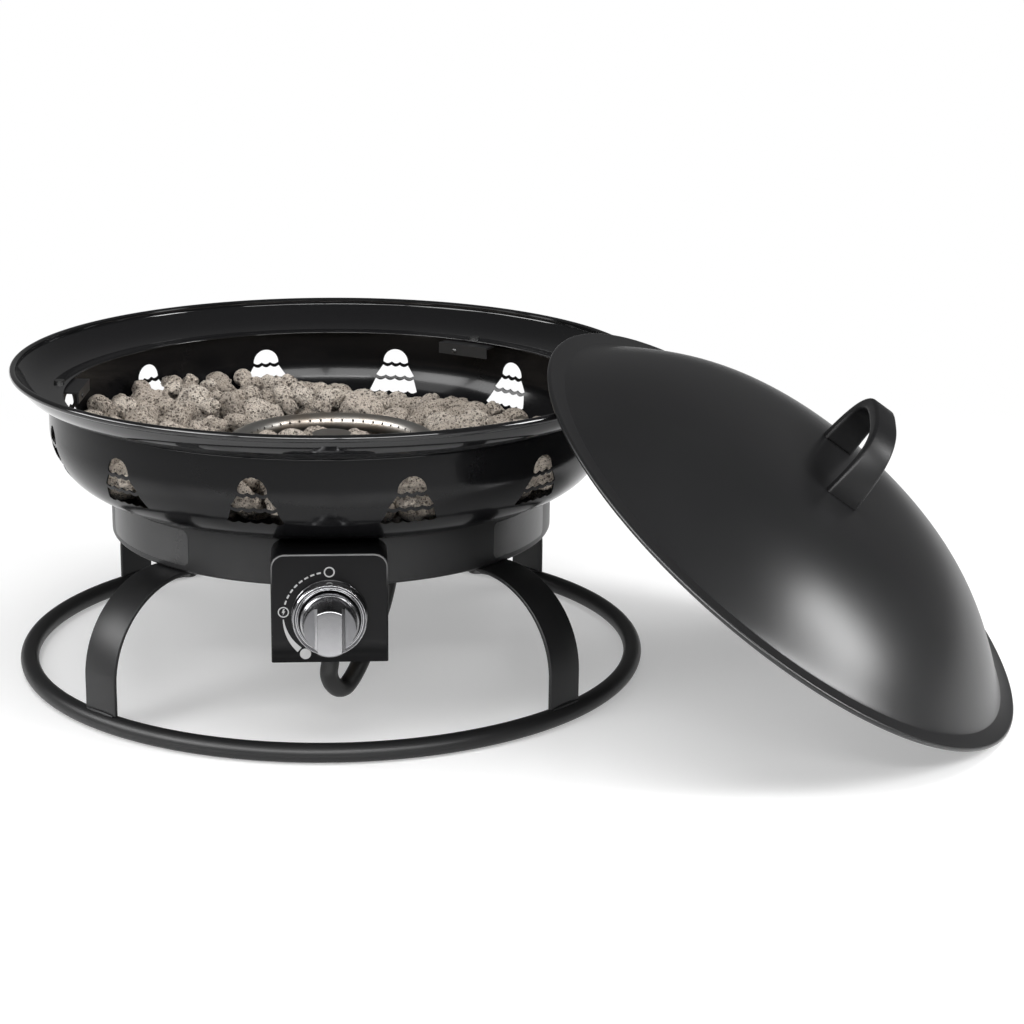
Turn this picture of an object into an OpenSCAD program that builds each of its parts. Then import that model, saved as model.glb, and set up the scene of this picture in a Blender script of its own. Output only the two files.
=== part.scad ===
// Portable propane fire pit with its lid leaned against the rim.
// Origin on the floor under the centre of the bowl, +Z up, the control panel faces -Y.
// The bowl stands on a collar, four strap legs and a floor ring. Gas parts hang under the bowl.

/* [Bowl] */
// Outer radius of the bowl's upright wall, the size that the rest follows
bowl_r = 213.4; // [200:0.2:230]
// Height of the bowl's top edge above the floor
bowl_top_z = 213; // [200:0.5:230]
// Height of the bowl from its underside to its top edge
bowl_h = 70; // [67:0.5:73]
// Sheet thickness of the bowl
bowl_t = 1.0; // [0.8:0.1:1.5]
// Outer radius of the curve between wall and base
bowl_bend_r = 48; // [46:0.5:50]
// Width of the flange turned in at the top of the bowl
bowl_flange_w = 8; // [6:0.5:10]

/* [Flared rim] */
// How far the rim reaches out beyond the bowl's wall
rim_w = 28.1; // [24:0.1:32]
// Height of the rim above the bowl's top edge
rim_h = 23.2; // [18:0.2:28]
// Radius of the rolled lip's round section
lip_r = 2.6; // [2:0.1:3]
// Sheet thickness of the flared rim
flare_t = 1.0; // [0.8:0.1:1.4]
// Distance from the bowl's wall to where the flare starts to rise
flare_foot_w = 1.2; // [0.8:0.1:2]
// Width of the flat ledge inside the flare
ledge_w = 12.6; // [11:0.1:14]

/* [Vents] */
// Number of tree-shaped vents round the wall
vent_count = 12; // [6:1:14]
// Distance of a vent's lowest point below the bowl's top edge
vent_drop = 50.5; // [48:0.5:51.5]
// Height of each tier, from the bottom tier up
vent_tier_h = [9.5, 8.5, 12.5];
// Full width of each tier, from the bottom tier up
vent_tier_w = [41, 33, 21.5];
// Metal bar left between two tiers
vent_bar = 2.6; // [2:0.1:3.2]
// Depth of the scallops along a tier's lower edge
vent_scallop = 1.5; // [1:0.1:2]

/* [Collar] */
// Distance of the collar's wall inside the bowl's wall
collar_inset = 44.4; // [42:0.2:47]
// Height of the collar under the bowl
collar_h = 36; // [34:0.5:39]
// Sheet thickness of the collar
collar_t = 1.2; // [1:0.1:2]
// Width of the flat rings inside the collar's top and bottom edges
collar_flange_w = 24; // [20:0.5:27]

/* [Legs and floor ring] */
// Distance of the floor ring's centre line outside the bowl's wall
ring_w = 22.1; // [18:0.1:26]
// Radius of the floor ring's tube
ring_tube_r = 7; // [6:0.25:8]
// Width of a strap leg
leg_w = 32; // [26:1:36]
// Thickness of a strap leg
leg_t = 3; // [2.5:0.1:4]
// Share of a strap leg's free height that its bend takes up
leg_bend_share = 0.778; // [0.65:0.002:0.8]
// How far a leg's end lies inside the collar
leg_reach = 22; // [20:0.5:24]
// Radius of a leg bolt's shank
leg_bolt_r = 3; // [2.5:0.1:3.5]
// Spacing of the two bolts in a leg
leg_bolt_gap = 17; // [14:0.5:18]

/* [Control box] */
// Width of the control box
box_w = 82; // [76:0.5:88]
// Distance of the panel's front behind the bowl's wall
box_inset = 8.4; // [6:0.2:10]
// Height of the control box
box_h = 79.3; // [77:0.1:82]
// How far the control box stands to the left of the bowl's axis
box_off = 2.6; // [0:0.1:5]
// Sheet thickness of the control box
box_t = 1.2; // [1:0.1:1.6]
// Radius of the rounded upper corners
box_corner_r = 10; // [7:0.5:13]

/* [Knob] */
// Height of the knob's axis above the control box's lower edge
knob_up = 33.8; // [33:0.2:36]
// Radius of the knob at its rim
knob_r = 20.6; // [19:0.1:22]
// Radius of the knob at its outer end
knob_end_r = 16.8; // [15:0.1:18]
// Distance of the knob's outer end from the panel
knob_reach = 40; // [36:0.5:43]
// Distance of the floors of the finger recesses from the panel
knob_floor = 28; // [25:0.5:30]
// Distance of the knob's rim from the panel, where its taper starts
knob_rim = 16; // [12:0.5:18]
// Width of the grip bar between the finger recesses
knob_bar_w = 16.4; // [14:0.2:18]
// How far the knob is pushed in
push_travel = 3; // [2:0.1:3.2]
// Radial width of the trim ring round the knob
bezel_w = 5.4; // [4.5:0.1:6.5]
// Thickness of the trim ring
bezel_t = 10; // [8:0.2:11]
// Radius of the valve stem
stem_r = 4; // [3.5:0.1:4.5]

/* [Burner] */
// Share of the bowl's flat base that the ring burner's centre line spans
burner_share = 0.4534; // [0.44:0.001:0.46]
// Radius of the ring burner's tube
burner_tube_r = 7; // [6.5:0.1:7.5]
// Wall of the burner's tube
burner_wall = 0.9; // [0.8:0.1:1.2]
// Height of the ring burner's centre line above the bowl's underside
burner_up = 25; // [23:0.5:27]
// Number of gas ports
port_count = 50; // [30:1:60]
// Radius of a gas port
port_r = 1.0; // [0.8:0.1:1.2]
// Radius of the inlet pipe
pipe_r = 10.5; // [10:0.1:11]
// Distance of the gas mixer's centre line below the bowl's underside
mixer_drop = 18; // [17:0.5:19]

/* [Lava rocks] */
// Radius of the rocks that lie along the bowl's curve
rock_big_r = 18.6; // [17:0.1:19]
// Radius of the rocks on the bowl's base
rock_r = 16.8; // [15:0.1:17]

/* [Lid] */
// How far the lid reaches out beyond the bowl's wall
lid_w = 3.1; // [1:0.1:6]
// Width of the lid's flat flange with its rolled edge
lid_flange_w = 13.5; // [11:0.25:16]
// Height of the dome's top over the lid's lower edge
dome_h = 66; // [60:0.2:72]
// Sheet thickness of the lid
lid_t = 1.2; // [1:0.1:1.4]
// Radius of the lid's rolled edge
lid_edge_r = 2; // [1.6:0.1:2.4]
// Share of the dome's foot radius, towards its upper end, at which the lid rests on the rim
lean_share = 0.858; // [0.84:0.001:0.88]
// Direction in which the lid leans out, in degrees
lean_az = -20.8; // [-30:0.1:-15]

/* [Lid handle] */
// Direction of the handle across the lid, in degrees
handle_az = 104; // [80:1:130]
// Overall length of the handle
handle_l = 110; // [100:1:120]
// Height of the handle above the top of the dome
handle_h = 52.8; // [49:0.2:59]
// Width of the handle's band at its feet
handle_w = 26; // [22:0.5:28]
// Width of the handle's band at its top
handle_top_w = 18; // [15:0.5:22]
// Thickness of the handle's band
handle_t = 10; // [9:0.5:12]

/* [Hidden] */
// Running clearance of a shaft in its bore
run_gap = 0.06;
// Seating gap between pieces that only rest on each other
seat_gap = 0.25;
// Clear gap between pieces that don't touch
free_gap = 0.5;
// Extra depth of a cut beyond the surface that it leaves
over = 2;

// Rim
rim_r = bowl_r + rim_w;
rim_z = bowl_top_z + rim_h;
flare_foot_r = bowl_r + flare_foot_w;
ledge_in_r = flare_foot_r - ledge_w;
lip_c_r = rim_r - lip_r;
lip_c_z = rim_z - lip_r;
ledge_z = bowl_top_z + flare_t;
flare_steps = 10;
flare_sag_share = 0.16;

// Bowl
bowl_base_z = bowl_top_z - bowl_h;
bend_c_r = bowl_r - bowl_bend_r;
bend_c_z = bowl_base_z + bowl_bend_r;
bowl_in_z = bowl_base_z + bowl_t;
bowl_flange_r = bowl_r - bowl_flange_w;

// Vents, counted from the bottom tier up
vent_z = bowl_top_z - vent_drop;
vent_scallops = [5, 4, 3];
vent_lobe_steps = 3;
vent_cap_steps = 9;

// Clips that hold the rim down, seen under the ledge
clip_count = 3;
clip_first_az = 55;
clip_l = 46;
clip_h = 9;
clip_w = 22;
clip_t = 1.5;
clip_screw_r = 2;

// Collar
collar_r = bowl_r - collar_inset;
collar_z = bowl_base_z - collar_h;
collar_in_r = collar_r - collar_flange_w;

// Legs
ring_r = bowl_r + ring_w;
leg_count = 4;
leg_first_az = 45;
leg_out_r = ring_r + leg_t / 2;
leg_foot_z = 2 * ring_tube_r + seat_gap;
leg_end_r = collar_r - leg_reach;
leg_bend_r = leg_bend_share * min(collar_z - leg_foot_z, leg_out_r - leg_end_r);
leg_bolt_at_r = (collar_r + leg_end_r) / 2;
leg_head_r = 2 * leg_bolt_r;
leg_head_h = leg_bolt_r;

// Control box and valve, with places along the knob's axis measured from the panel's front
box_front = bowl_r - box_inset;
box_top_z = bowl_base_z - free_gap;
box_z = box_top_z - box_h;
knob_z = box_z + knob_up;
tab_w = 12;
tab_h = 26;
tab_z = collar_z + free_gap * 4;
tab_back = box_w / 2 - tab_w;
box_back = sqrt(pow(collar_r, 2) - pow(tab_back, 2)) + seat_gap;
box_screw_r = 2;
neck_r = 8;
neck_front = 2.8;
neck_nut_r = 12;
neck_nut_t = 2.4;
valve_r = 15;
valve_front = 5;
valve_l = 28;
stem_depth = 18;
stem_in_knob = 18;
knob_gap = push_travel + free_gap;
hollow_r = neck_nut_r + 2 * free_gap;
hollow_depth = 5;
push_collar_t = 2.2;
push_collar_r = 7;
inlet_shoulder_r = 10;
inlet_shoulder_l = 7;
inlet_r = 7.9;
inlet_l = 15;
outlet_back = 20;
outlet_r = 8;
outlet_drop = 16;
hose_r = 6.5;
hose_nut_r = 9;
hose_nut_h = 6;
ferrule_r = 7.7;
ferrule_l = 12;
valve_back = box_front - valve_front - valve_l;
outlet_z = knob_z - outlet_drop;

// Burner, mixer and igniter
burner_r = burner_share * bend_c_r;
burner_z = bowl_base_z + burner_up;
mixer_z = bowl_base_z - mixer_drop;
port_tilt = 20;
hub_r = 15;
hub_h = 18;
cross_r = 5.5;
plate_r = 34;
plate_t = 1.5;
plate_screw_count = 3;
plate_screw_at_r = 26;
plate_screw_r = 2;
mixer_az = -68;
mixer_l = 46;
pipe_wall = 1;
window_l = 12;
window_w = 9;
window_back = 16;
window_at = mixer_l - window_back;
shutter_l = 15;
jet_plug_l = 6;
jet_nut_l = 6;
jet_stub_l = 6;
jet_stub_r = 6;
igniter_az = -100;
igniter_out = 15;
igniter_at_r = burner_r + igniter_out;
ceramic_r = 4;
ceramic_below = 17;
ceramic_above = 23;
ceramic_low_z = bowl_base_z - ceramic_below;
ceramic_top_z = bowl_base_z + ceramic_above;
ceramic_shoulder_r = 7;
ceramic_shoulder_h = 3;
electrode_r = 1;
electrode_l = 5;
spark_gap = 3;
lead_r = 1.5;

// Gas hose: points on its centre line, as offsets from the valve's outlet and from the burner's jet.
// The stretch between the two sags a little below the straight line.
hose_out = [-box_off, -box_front + outlet_back, outlet_z - hose_nut_h - ferrule_l];
hose_in_r = mixer_l + jet_nut_l + jet_stub_l + ferrule_l;
hose_in = [hose_in_r * cos(mixer_az), hose_in_r * sin(mixer_az), mixer_z];
hose_loop = [[0, 0, 0], [0, 0, -7], [-1, 0.6, -15.5], [0.8, 4, -23.5], [5.2, 10, -30.2],
    [10.5, 16.5, -31.6], [15.2, 22.5, -27.8], [19.8, 28.5, -21.5]];
hose_lead_in = [[11.6, -65.6, -36], [14.8, -58.1, -21.5], [15.2, -47.1, -9.6], [12.4, -34.1, -2.4],
    [8.4, -21.1, 0], [3.8, -9.3, 0], [0, 0, 0]];
hose_climb_share = [0.24, 0.5, 0.76];
hose_sag = [2.6, 4.2, 3.9];
hose_low = hose_out + hose_loop[7];
hose_high = hose_in + hose_lead_in[0];
hose_pts = concat([for (q = hose_loop) hose_out + q],
    [for (i = [0:2]) hose_low + hose_climb_share[i] * (hose_high - hose_low) - [0, 0, hose_sag[i]]],
    [for (q = hose_lead_in) hose_in + q]);
hose_sides = 10;

// Igniter lead: points as offsets from the ceramic's foot and from the back of the valve.
lead_out = [igniter_at_r * cos(igniter_az), igniter_at_r * sin(igniter_az), ceramic_low_z];
lead_in = [-box_off - 12, -valve_back, knob_z + 4];
lead_drop = [[0, 0, 0], [-0.2, -0.4, -7], [-0.9, -5.4, -13], [-1.4, -15.4, -17]];
lead_reach = [[-2.9, 35, 2.5], [-1.9, 19, 1], [-0.6, 7, 0.2], [0, 0, 0]];
lead_pts = concat([for (q = lead_drop) lead_out + q], [for (q = lead_reach) lead_in + q]);
lead_sides = 8;

// Rocks: as many lie in each ring as fit side by side
rock_gap = 1.25;
rock_wall_angle = 45;
rock_reach = bowl_bend_r - bowl_t - rock_big_r - seat_gap;
rock_wall_r = bend_c_r + rock_reach * cos(rock_wall_angle);
rock_ring_in = 15.4;
rock_ring_step = 2 * rock_r + rock_gap + free_gap / 4;
rock_ring_room = burner_r + burner_tube_r + free_gap + rock_r;
rock_ring_turn = 4;
rock_rings = [for (k = [0:1])
    let (r = bend_c_r - rock_ring_in - k * rock_ring_step)
    if (r > rock_ring_room) r];
function ring_count(r, lump_r) = floor(PI * r / (lump_r + rock_gap));
rock_inner_share = 0.6;
rock_inner_at_r = rock_inner_share * burner_r;
rock_inner_az = [45, 90, 135, 225, 270, 315];
rock_inner_r = min(rock_r, rock_inner_at_r * sin(rock_wall_angle / 2) - free_gap / 2);
rock_sides = 6;
rock_rows = 3;
rock_dent_share = 0.16;

// Lid: the flat flange lies level with the top of the rolled edge, and the dome's side runs out into it.
// The lid stands on its rolled edge, and the foot of its dome rests on the rim's lip at two places.
lid_r = bowl_r + lid_w;
flange_top = 2 * lid_edge_r;
dome_r = lid_r - lid_flange_w;
seat_in_r = dome_r - lid_t;
seat_in_z = flange_top - lid_t;
seat_up = lean_share * seat_in_r;
seat_side = sqrt(pow(seat_in_r, 2) - pow(seat_up, 2));
lean_long = seat_up + lid_r - lid_edge_r;
lean_short = lip_r + seat_gap + lid_edge_r - seat_in_z;
lean = asin((lip_c_z - lid_edge_r) / norm([lean_long, lean_short])) + atan(lean_short / lean_long);
lid_z = (lid_r - lid_edge_r) * sin(lean) - lid_edge_r * cos(lean) + lid_edge_r;
seat_r = lip_c_r + lip_r * sin(lean);
seat_x = sqrt(pow(seat_r, 2) - pow(seat_side, 2));
lid_d = seat_x + seat_up * cos(lean) - seat_in_z * sin(lean) + 2 * seat_gap;
lid_x = lid_d * cos(lean_az);
lid_y = lid_d * sin(lean_az);
dome_power_share = 3.27;
dome_root_share = 1.147;
dome_steps = 26;

// Handle
handle_in_l = handle_l - 2 * handle_t;
handle_steps = 24;
handle_power_share = 0.66;
handle_at = handle_l / 2 - handle_t / 2;
handle_z = flange_top + (dome_h - flange_top) * dome_rise_share(handle_at / dome_r);
handle_sink = handle_t / 2;
loop_h = dome_h + handle_h - handle_z;
handle_screw_r = 2.5;
handle_screw_in = 12;
handle_head_r = 5;
handle_head_h = 3;

// Sweeps a round tube of n sides along a list of points.
// Each ring is turned only as far as the tube's direction turns.
function unit(v) = v / norm(v);
function tube_dir(p, i) = unit(p[min(i + 1, len(p) - 1)] - p[max(i - 1, 0)]);
function tube_side(p, i) =
    i == 0 ? unit(cross(tube_dir(p, 0), [1, 0, 0]))
    : let (d = tube_dir(p, i), s = tube_side(p, i - 1)) unit(s - (s * d) * d);
module tube_along(p, r, n) {
    last = len(p) - 1;
    rings = [for (i = [0:last])
        let (d = tube_dir(p, i), s = tube_side(p, i), c = cross(d, s))
        for (k = [0:n - 1]) p[i] + r * (cos(360 * k / n) * s + sin(360 * k / n) * c)];
    sides = [for (i = [0:last - 1], k = [0:n - 1])
        [[i * n + k, i * n + (k + 1) % n, (i + 1) * n + (k + 1) % n],
         [i * n + k, (i + 1) * n + (k + 1) % n, (i + 1) * n + k]]];
    faces = [for (pair = sides) for (f = pair) f];
    caps = [[for (k = [n - 1:-1:0]) k], [for (k = [0:n - 1]) last * n + k]];
    polyhedron(points = rings, faces = [for (f = concat(faces, caps)) [f[2], f[1], f[0],
        for (j = [len(f) - 1:-1:3]) f[j]]]);
}

module base_ring() {
    color("#1c1c1c")
    translate([0, 0, ring_tube_r])
    rotate_extrude($fn = 96)
    translate([ring_r, 0])
    circle(r = ring_tube_r, $fn = 32);
}

// One strap leg in its own radial plane: upright on the ring, bent inwards under the collar.
module leg_strap() {
    turn_r = leg_out_r - leg_bend_r;
    turn_z = collar_z - leg_bend_r;
    difference() {
        rotate([90, 0, 0])
        linear_extrude(leg_w, center = true)
        union() {
            translate([leg_out_r - leg_t, leg_foot_z])
            square([leg_t, turn_z - leg_foot_z]);
            translate([leg_end_r, collar_z - leg_t])
            square([turn_r - leg_end_r, leg_t]);
            intersection() {
                translate([turn_r, turn_z])
                difference() {
                    circle(r = leg_bend_r, $fn = 96);
                    circle(r = leg_bend_r - leg_t, $fn = 96);
                }
                translate([turn_r, turn_z])
                square(leg_bend_r + over);
            }
        }
        for (side = [-1, 1])
            translate([leg_bolt_at_r, side * leg_bolt_gap / 2, collar_z - leg_t - over])
            cylinder(r = leg_bolt_r + run_gap, h = leg_t + 2 * over, $fn = 32);
    }
}

module leg_at(i) {
    color("#202020")
    rotate([0, 0, -90 - leg_first_az + 90 * i])
    leg_strap();
}
module leg_front_left() { leg_at(0); }
module leg_front_right() { leg_at(1); }
module leg_rear_right() { leg_at(2); }
module leg_rear_left() { leg_at(3); }

// Places a child at each leg bolt.
module at_leg_bolts() {
    for (i = [0:leg_count - 1])
        rotate([0, 0, leg_first_az + 90 * i])
        for (side = [-1, 1])
            translate([leg_bolt_at_r, side * leg_bolt_gap / 2, 0])
            children();
}

module leg_bolts() {
    color("#2b2b2b")
    at_leg_bolts() {
        translate([0, 0, collar_z - leg_t - leg_head_h])
        cylinder(r = leg_head_r, h = leg_head_h, $fn = 32);
        translate([0, 0, collar_z - leg_t - leg_head_h])
        cylinder(r = leg_bolt_r, h = leg_head_h + leg_t + collar_t + 2 * leg_head_h, $fn = 32);
    }
}

module leg_nuts() {
    color("silver")
    at_leg_bolts()
    translate([0, 0, collar_z + collar_t])
    difference() {
        cylinder(r = leg_head_r, h = leg_head_h, $fn = 6);
        translate([0, 0, -over])
        cylinder(r = leg_bolt_r + run_gap, h = leg_head_h + 2 * over, $fn = 32);
    }
}

// The collar: an upright band, and a flat ring inside each of its edges.
module collar_band() {
    color("#1a1a1a")
    difference() {
        translate([0, 0, collar_z])
        cylinder(r = collar_r, h = collar_h, $fn = 96);
        translate([0, 0, collar_z - over])
        cylinder(r = collar_r - collar_t, h = collar_h + 2 * over, $fn = 96);
        at_box_screws()
        cylinder(r = box_screw_r + run_gap, h = 2 * tab_w, $fn = 32);
    }
}

module collar_ring(z) {
    translate([0, 0, z])
    difference() {
        cylinder(r = collar_r - collar_t, h = collar_t, $fn = 96);
        translate([0, 0, -over])
        cylinder(r = collar_in_r, h = collar_t + 2 * over, $fn = 96);
    }
}

module collar_top_ring() {
    color("#1a1a1a")
    collar_ring(bowl_base_z - collar_t);
}

module collar_base_ring() {
    color("#1a1a1a")
    difference() {
        collar_ring(collar_z);
        at_leg_bolts()
        translate([0, 0, collar_z - over])
        cylinder(r = leg_bolt_r + run_gap, h = collar_t + 2 * over, $fn = 32);
    }
}

// One tier of a vent: scalloped below, and above either a rounded cap or the next tier's bar.
function scallops(w, n, z) = [for (j = [0:n * vent_lobe_steps])
    [w * (j / (n * vent_lobe_steps) - 1 / 2), z - vent_scallop * abs(sin(180 * j / vent_lobe_steps))]];
function tier_z(i) = i == 0 ? vent_z + vent_scallop : tier_z(i - 1) + vent_tier_h[i - 1] + vent_bar;
function flipped(p) = [for (j = [len(p) - 1:-1:0]) p[j]];
function tier_top(i) =
    i < 2 ? flipped(scallops(vent_tier_w[i + 1], vent_scallops[i + 1], tier_z(i + 1) - vent_bar))
    : [for (j = [1:vent_cap_steps]) let (a = 180 * j / (vent_cap_steps + 1))
        [vent_tier_w[i] / 2 * cos(a), tier_z(i) + (vent_tier_h[i] - vent_scallop) * sin(a)]];
module vent() {
    rotate([90, 0, 0])
    linear_extrude(bowl_r + over)
    for (i = [0:2])
        polygon(concat(scallops(vent_tier_w[i], vent_scallops[i], tier_z(i)), tier_top(i)));
}

module bowl_body() {
    color("#111111")
    difference() {
        rotate_extrude($fn = 96)
        union() {
            square_ring(0, bend_c_r, bowl_base_z, bowl_in_z);
            square_ring(bowl_r - bowl_t, bowl_r, bend_c_z, bowl_top_z);
            square_ring(bowl_flange_r, bowl_r, bowl_top_z - bowl_t, bowl_top_z);
            intersection() {
                translate([bend_c_r, bend_c_z])
                difference() {
                    circle(r = bowl_bend_r, $fn = 96);
                    circle(r = bowl_bend_r - bowl_t, $fn = 96);
                }
                translate([bend_c_r, bowl_base_z - over])
                square([bowl_bend_r + over, bowl_bend_r + over]);
            }
        }
        for (i = [0:vent_count - 1])
            rotate([0, 0, 360 * (i + 1 / 2) / vent_count])
            difference() {
                vent();
                translate([0, 0, bowl_base_z])
                cylinder(r = bend_c_r, h = bowl_top_z, $fn = 96);
            }
        translate([0, 0, bowl_base_z - over])
        cylinder(r = pipe_r + free_gap, h = bowl_t + 2 * over, $fn = 48);
        at_plate_screws()
        translate([0, 0, bowl_base_z - over])
        cylinder(r = plate_screw_r + run_gap, h = bowl_t + 2 * over, $fn = 32);
        at_igniter()
        translate([0, 0, bowl_base_z - over])
        cylinder(r = ceramic_r + seat_gap, h = bowl_t + 2 * over, $fn = 32);
        at_clips()
        translate([0, 0, bowl_top_z - bowl_t - over])
        cylinder(r = clip_screw_r + run_gap, h = bowl_t + 2 * over, $fn = 32);
    }
}

// A flat or upright strip of a turned profile, from one radius and height to another.
module square_ring(r0, r1, z0, z1) {
    translate([r0, z0])
    square([r1 - r0, z1 - z0]);
}

// The flare's outer side as a shallow curve from its foot to the rolled lip.
function flare_side(down) = [for (j = [0:flare_steps])
    let (u = j / flare_steps,
        dr = lip_c_r - flare_foot_r,
        dz = lip_c_z - ledge_z,
        bow = flare_sag_share * dz * sin(180 * u))
    [flare_foot_r + dr * u + bow / 2, ledge_z + dz * u - bow - down]];
module rim_flare() {
    color("#0e0e0e")
    difference() {
        rotate_extrude($fn = 96) {
            polygon(concat([[ledge_in_r, bowl_top_z]], flare_side(flare_t),
                flipped(flare_side(0)), [[ledge_in_r, ledge_z]]));
            translate([lip_c_r, lip_c_z])
            circle(r = lip_r, $fn = 32);
        }
        at_clips()
        translate([0, 0, bowl_top_z - over])
        cylinder(r = clip_screw_r + run_gap, h = flare_t + 2 * over, $fn = 32);
    }
}

// Places a child at each rim clip's screw.
module at_clips() {
    for (i = [0:clip_count - 1])
        rotate([0, 0, clip_first_az + 360 * i / clip_count])
        translate([(bowl_flange_r + bowl_r - bowl_t) / 2, 0, 0])
        children();
}

// An angle under the bowl's flange, with its lower leg on the inner side.
module rim_clips() {
    clip_top = bowl_top_z - bowl_t;
    clip_in = (bowl_r - bowl_t - bowl_flange_r) / 2 - free_gap - clip_w;
    color("#181818")
    intersection() {
        at_clips()
        difference() {
            union() {
                translate([clip_in, -clip_l / 2, clip_top - clip_t])
                cube([clip_w, clip_l, clip_t]);
                translate([clip_in, -clip_l / 2, clip_top - clip_h])
                cube([clip_t, clip_l, clip_h]);
            }
            translate([0, 0, clip_top - clip_t - over])
            cylinder(r = clip_screw_r + run_gap, h = clip_t + 2 * over, $fn = 32);
        }
        cylinder(r = bowl_r - bowl_t - seat_gap, h = bowl_top_z, $fn = 96);
    }
}

module rim_screws() {
    color("#303030")
    at_clips() {
        translate([0, 0, ledge_z])
        cylinder(r = 2 * clip_screw_r, h = clip_screw_r, $fn = 32);
        translate([0, 0, bowl_top_z - bowl_t - clip_h])
        cylinder(r = clip_screw_r, h = clip_h + bowl_t + flare_t + clip_screw_r, $fn = 32);
    }
}

// The control box's outline from the front: round upper corners, square lower ones.
module box_outline(inset, below) {
    w = box_w / 2 - inset;
    top = box_top_z - inset;
    r = box_corner_r - inset;
    union() {
        translate([-w, box_z - below])
        square([2 * w, top - r - box_z + below]);
        translate([-w + r, box_z - below])
        square([2 * (w - r), top - box_z + below]);
        for (side = [-1, 1])
            translate([side * (w - r), top - r])
            circle(r = r, $fn = 48);
    }
}

// Stands a flat outline upright, facing -Y, from one distance in front of the axis to another.
module upright(front, back) {
    translate([-box_off, -back, 0])
    rotate([90, 0, 0])
    linear_extrude(front - back)
    children();
}

module control_box() {
    color("#141414")
    difference() {
        union() {
            difference() {
                upright(box_front, box_back - tab_w)
                box_outline(0, 0);
                upright(box_front - box_t, box_back - 2 * tab_w)
                box_outline(box_t, over);
                translate([0, 0, box_z - over])
                cylinder(r = collar_r + seat_gap, h = bowl_top_z, $fn = 96);
            }
            for (side = [-1, 1])
                translate([side * (box_w - tab_w) / 2 - tab_w / 2 - box_off, -box_back - box_t, tab_z])
                cube([tab_w, box_t, tab_h]);
        }
        at_knob()
        translate([0, 0, -box_t - over])
        cylinder(r = neck_r + seat_gap, h = box_t + 2 * over, $fn = 48);
        at_box_screws()
        cylinder(r = box_screw_r + run_gap, h = 2 * tab_w, $fn = 32);
    }
}

// Places a child at each control box screw, with +Z out of the collar.
module at_box_screws() {
    for (side = [-1, 1])
        translate([side * (box_w - tab_w) / 2 - box_off, -box_back + tab_w, tab_z + tab_h / 2])
        rotate([90, 0, 0])
        children();
}

module box_screws() {
    color("#333333")
    at_box_screws() {
        translate([0, 0, tab_w + box_t])
        cylinder(r = 2 * box_screw_r, h = box_screw_r, $fn = 32);
        cylinder(r = box_screw_r, h = tab_w + box_t + box_screw_r, $fn = 32);
    }
}

// Places a child on the knob's axis, with z zero at the panel's front and +Z towards the user.
module at_knob() {
    translate([-box_off, -box_front, knob_z])
    rotate([90, 0, 0])
    children();
}

module knob_bezel() {
    bezel_in_r = knob_r + 2 * free_gap;
    color("silver")
    at_knob()
    rotate_extrude($fn = 96)
    polygon([[bezel_in_r, 0], [bezel_in_r + bezel_w, 0], [bezel_in_r + bezel_w, bezel_t - bezel_w / 2],
        [bezel_in_r + bezel_w * 3 / 4, bezel_t], [bezel_in_r + bezel_w / 4, bezel_t],
        [bezel_in_r, bezel_t - bezel_w / 4]]);
}

module control_knob() {
    color("#c8c8c8")
    at_knob()
    difference() {
        rotate_extrude($fn = 96)
        polygon([[0, knob_gap], [knob_r, knob_gap], [knob_r, knob_rim], [knob_end_r, knob_reach],
            [0, knob_reach]]);
        for (side = [-1, 1])
            translate([side * (knob_bar_w / 2 + knob_r) - knob_r, -knob_r - over, knob_floor])
            cube([2 * knob_r, 2 * (knob_r + over), knob_reach]);
        translate([0, 0, knob_gap - over])
        cylinder(r = hollow_r, h = hollow_depth + over, $fn = 64);
        translate([0, 0, knob_gap])
        cylinder(r = stem_r, h = stem_in_knob - knob_gap, $fn = 48);
    }
}

module valve_stem() {
    color("goldenrod")
    at_knob()
    translate([0, 0, -stem_depth])
    cylinder(r = stem_r, h = stem_depth + stem_in_knob, $fn = 48);
}

module push_collar() {
    color("silver")
    at_knob()
    translate([0, 0, knob_gap + hollow_depth - push_collar_t - seat_gap])
    difference() {
        cylinder(r = push_collar_r, h = push_collar_t, $fn = 48);
        translate([0, 0, -over])
        cylinder(r = stem_r + run_gap, h = push_collar_t + 2 * over, $fn = 48);
    }
}

module valve_body() {
    color("#b08d3c")
    difference() {
        union() {
            at_knob()
            translate([0, 0, -valve_front - valve_l])
            cylinder(r = valve_r, h = valve_l, $fn = 64);
            translate([-box_off, -box_front + outlet_back, outlet_z])
            cylinder(r = outlet_r, h = outlet_drop, $fn = 48);
        }
        at_knob()
        translate([0, 0, -stem_depth - push_travel - free_gap])
        cylinder(r = stem_r + run_gap, h = stem_depth + push_travel + free_gap, $fn = 48);
    }
}

// The valve's threaded neck, which comes through the panel and takes the nut.
module valve_neck() {
    color("#b08d3c")
    at_knob()
    translate([0, 0, -valve_front])
    difference() {
        cylinder(r = neck_r, h = valve_front + neck_front, $fn = 48);
        translate([0, 0, -over])
        cylinder(r = stem_r + run_gap, h = valve_front + neck_front + 2 * over, $fn = 48);
    }
}

module valve_nut() {
    color("silver")
    at_knob()
    difference() {
        cylinder(r = neck_nut_r, h = neck_nut_t, $fn = 6);
        translate([0, 0, -over])
        cylinder(r = neck_r + run_gap, h = neck_nut_t + 2 * over, $fn = 48);
    }
}

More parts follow.
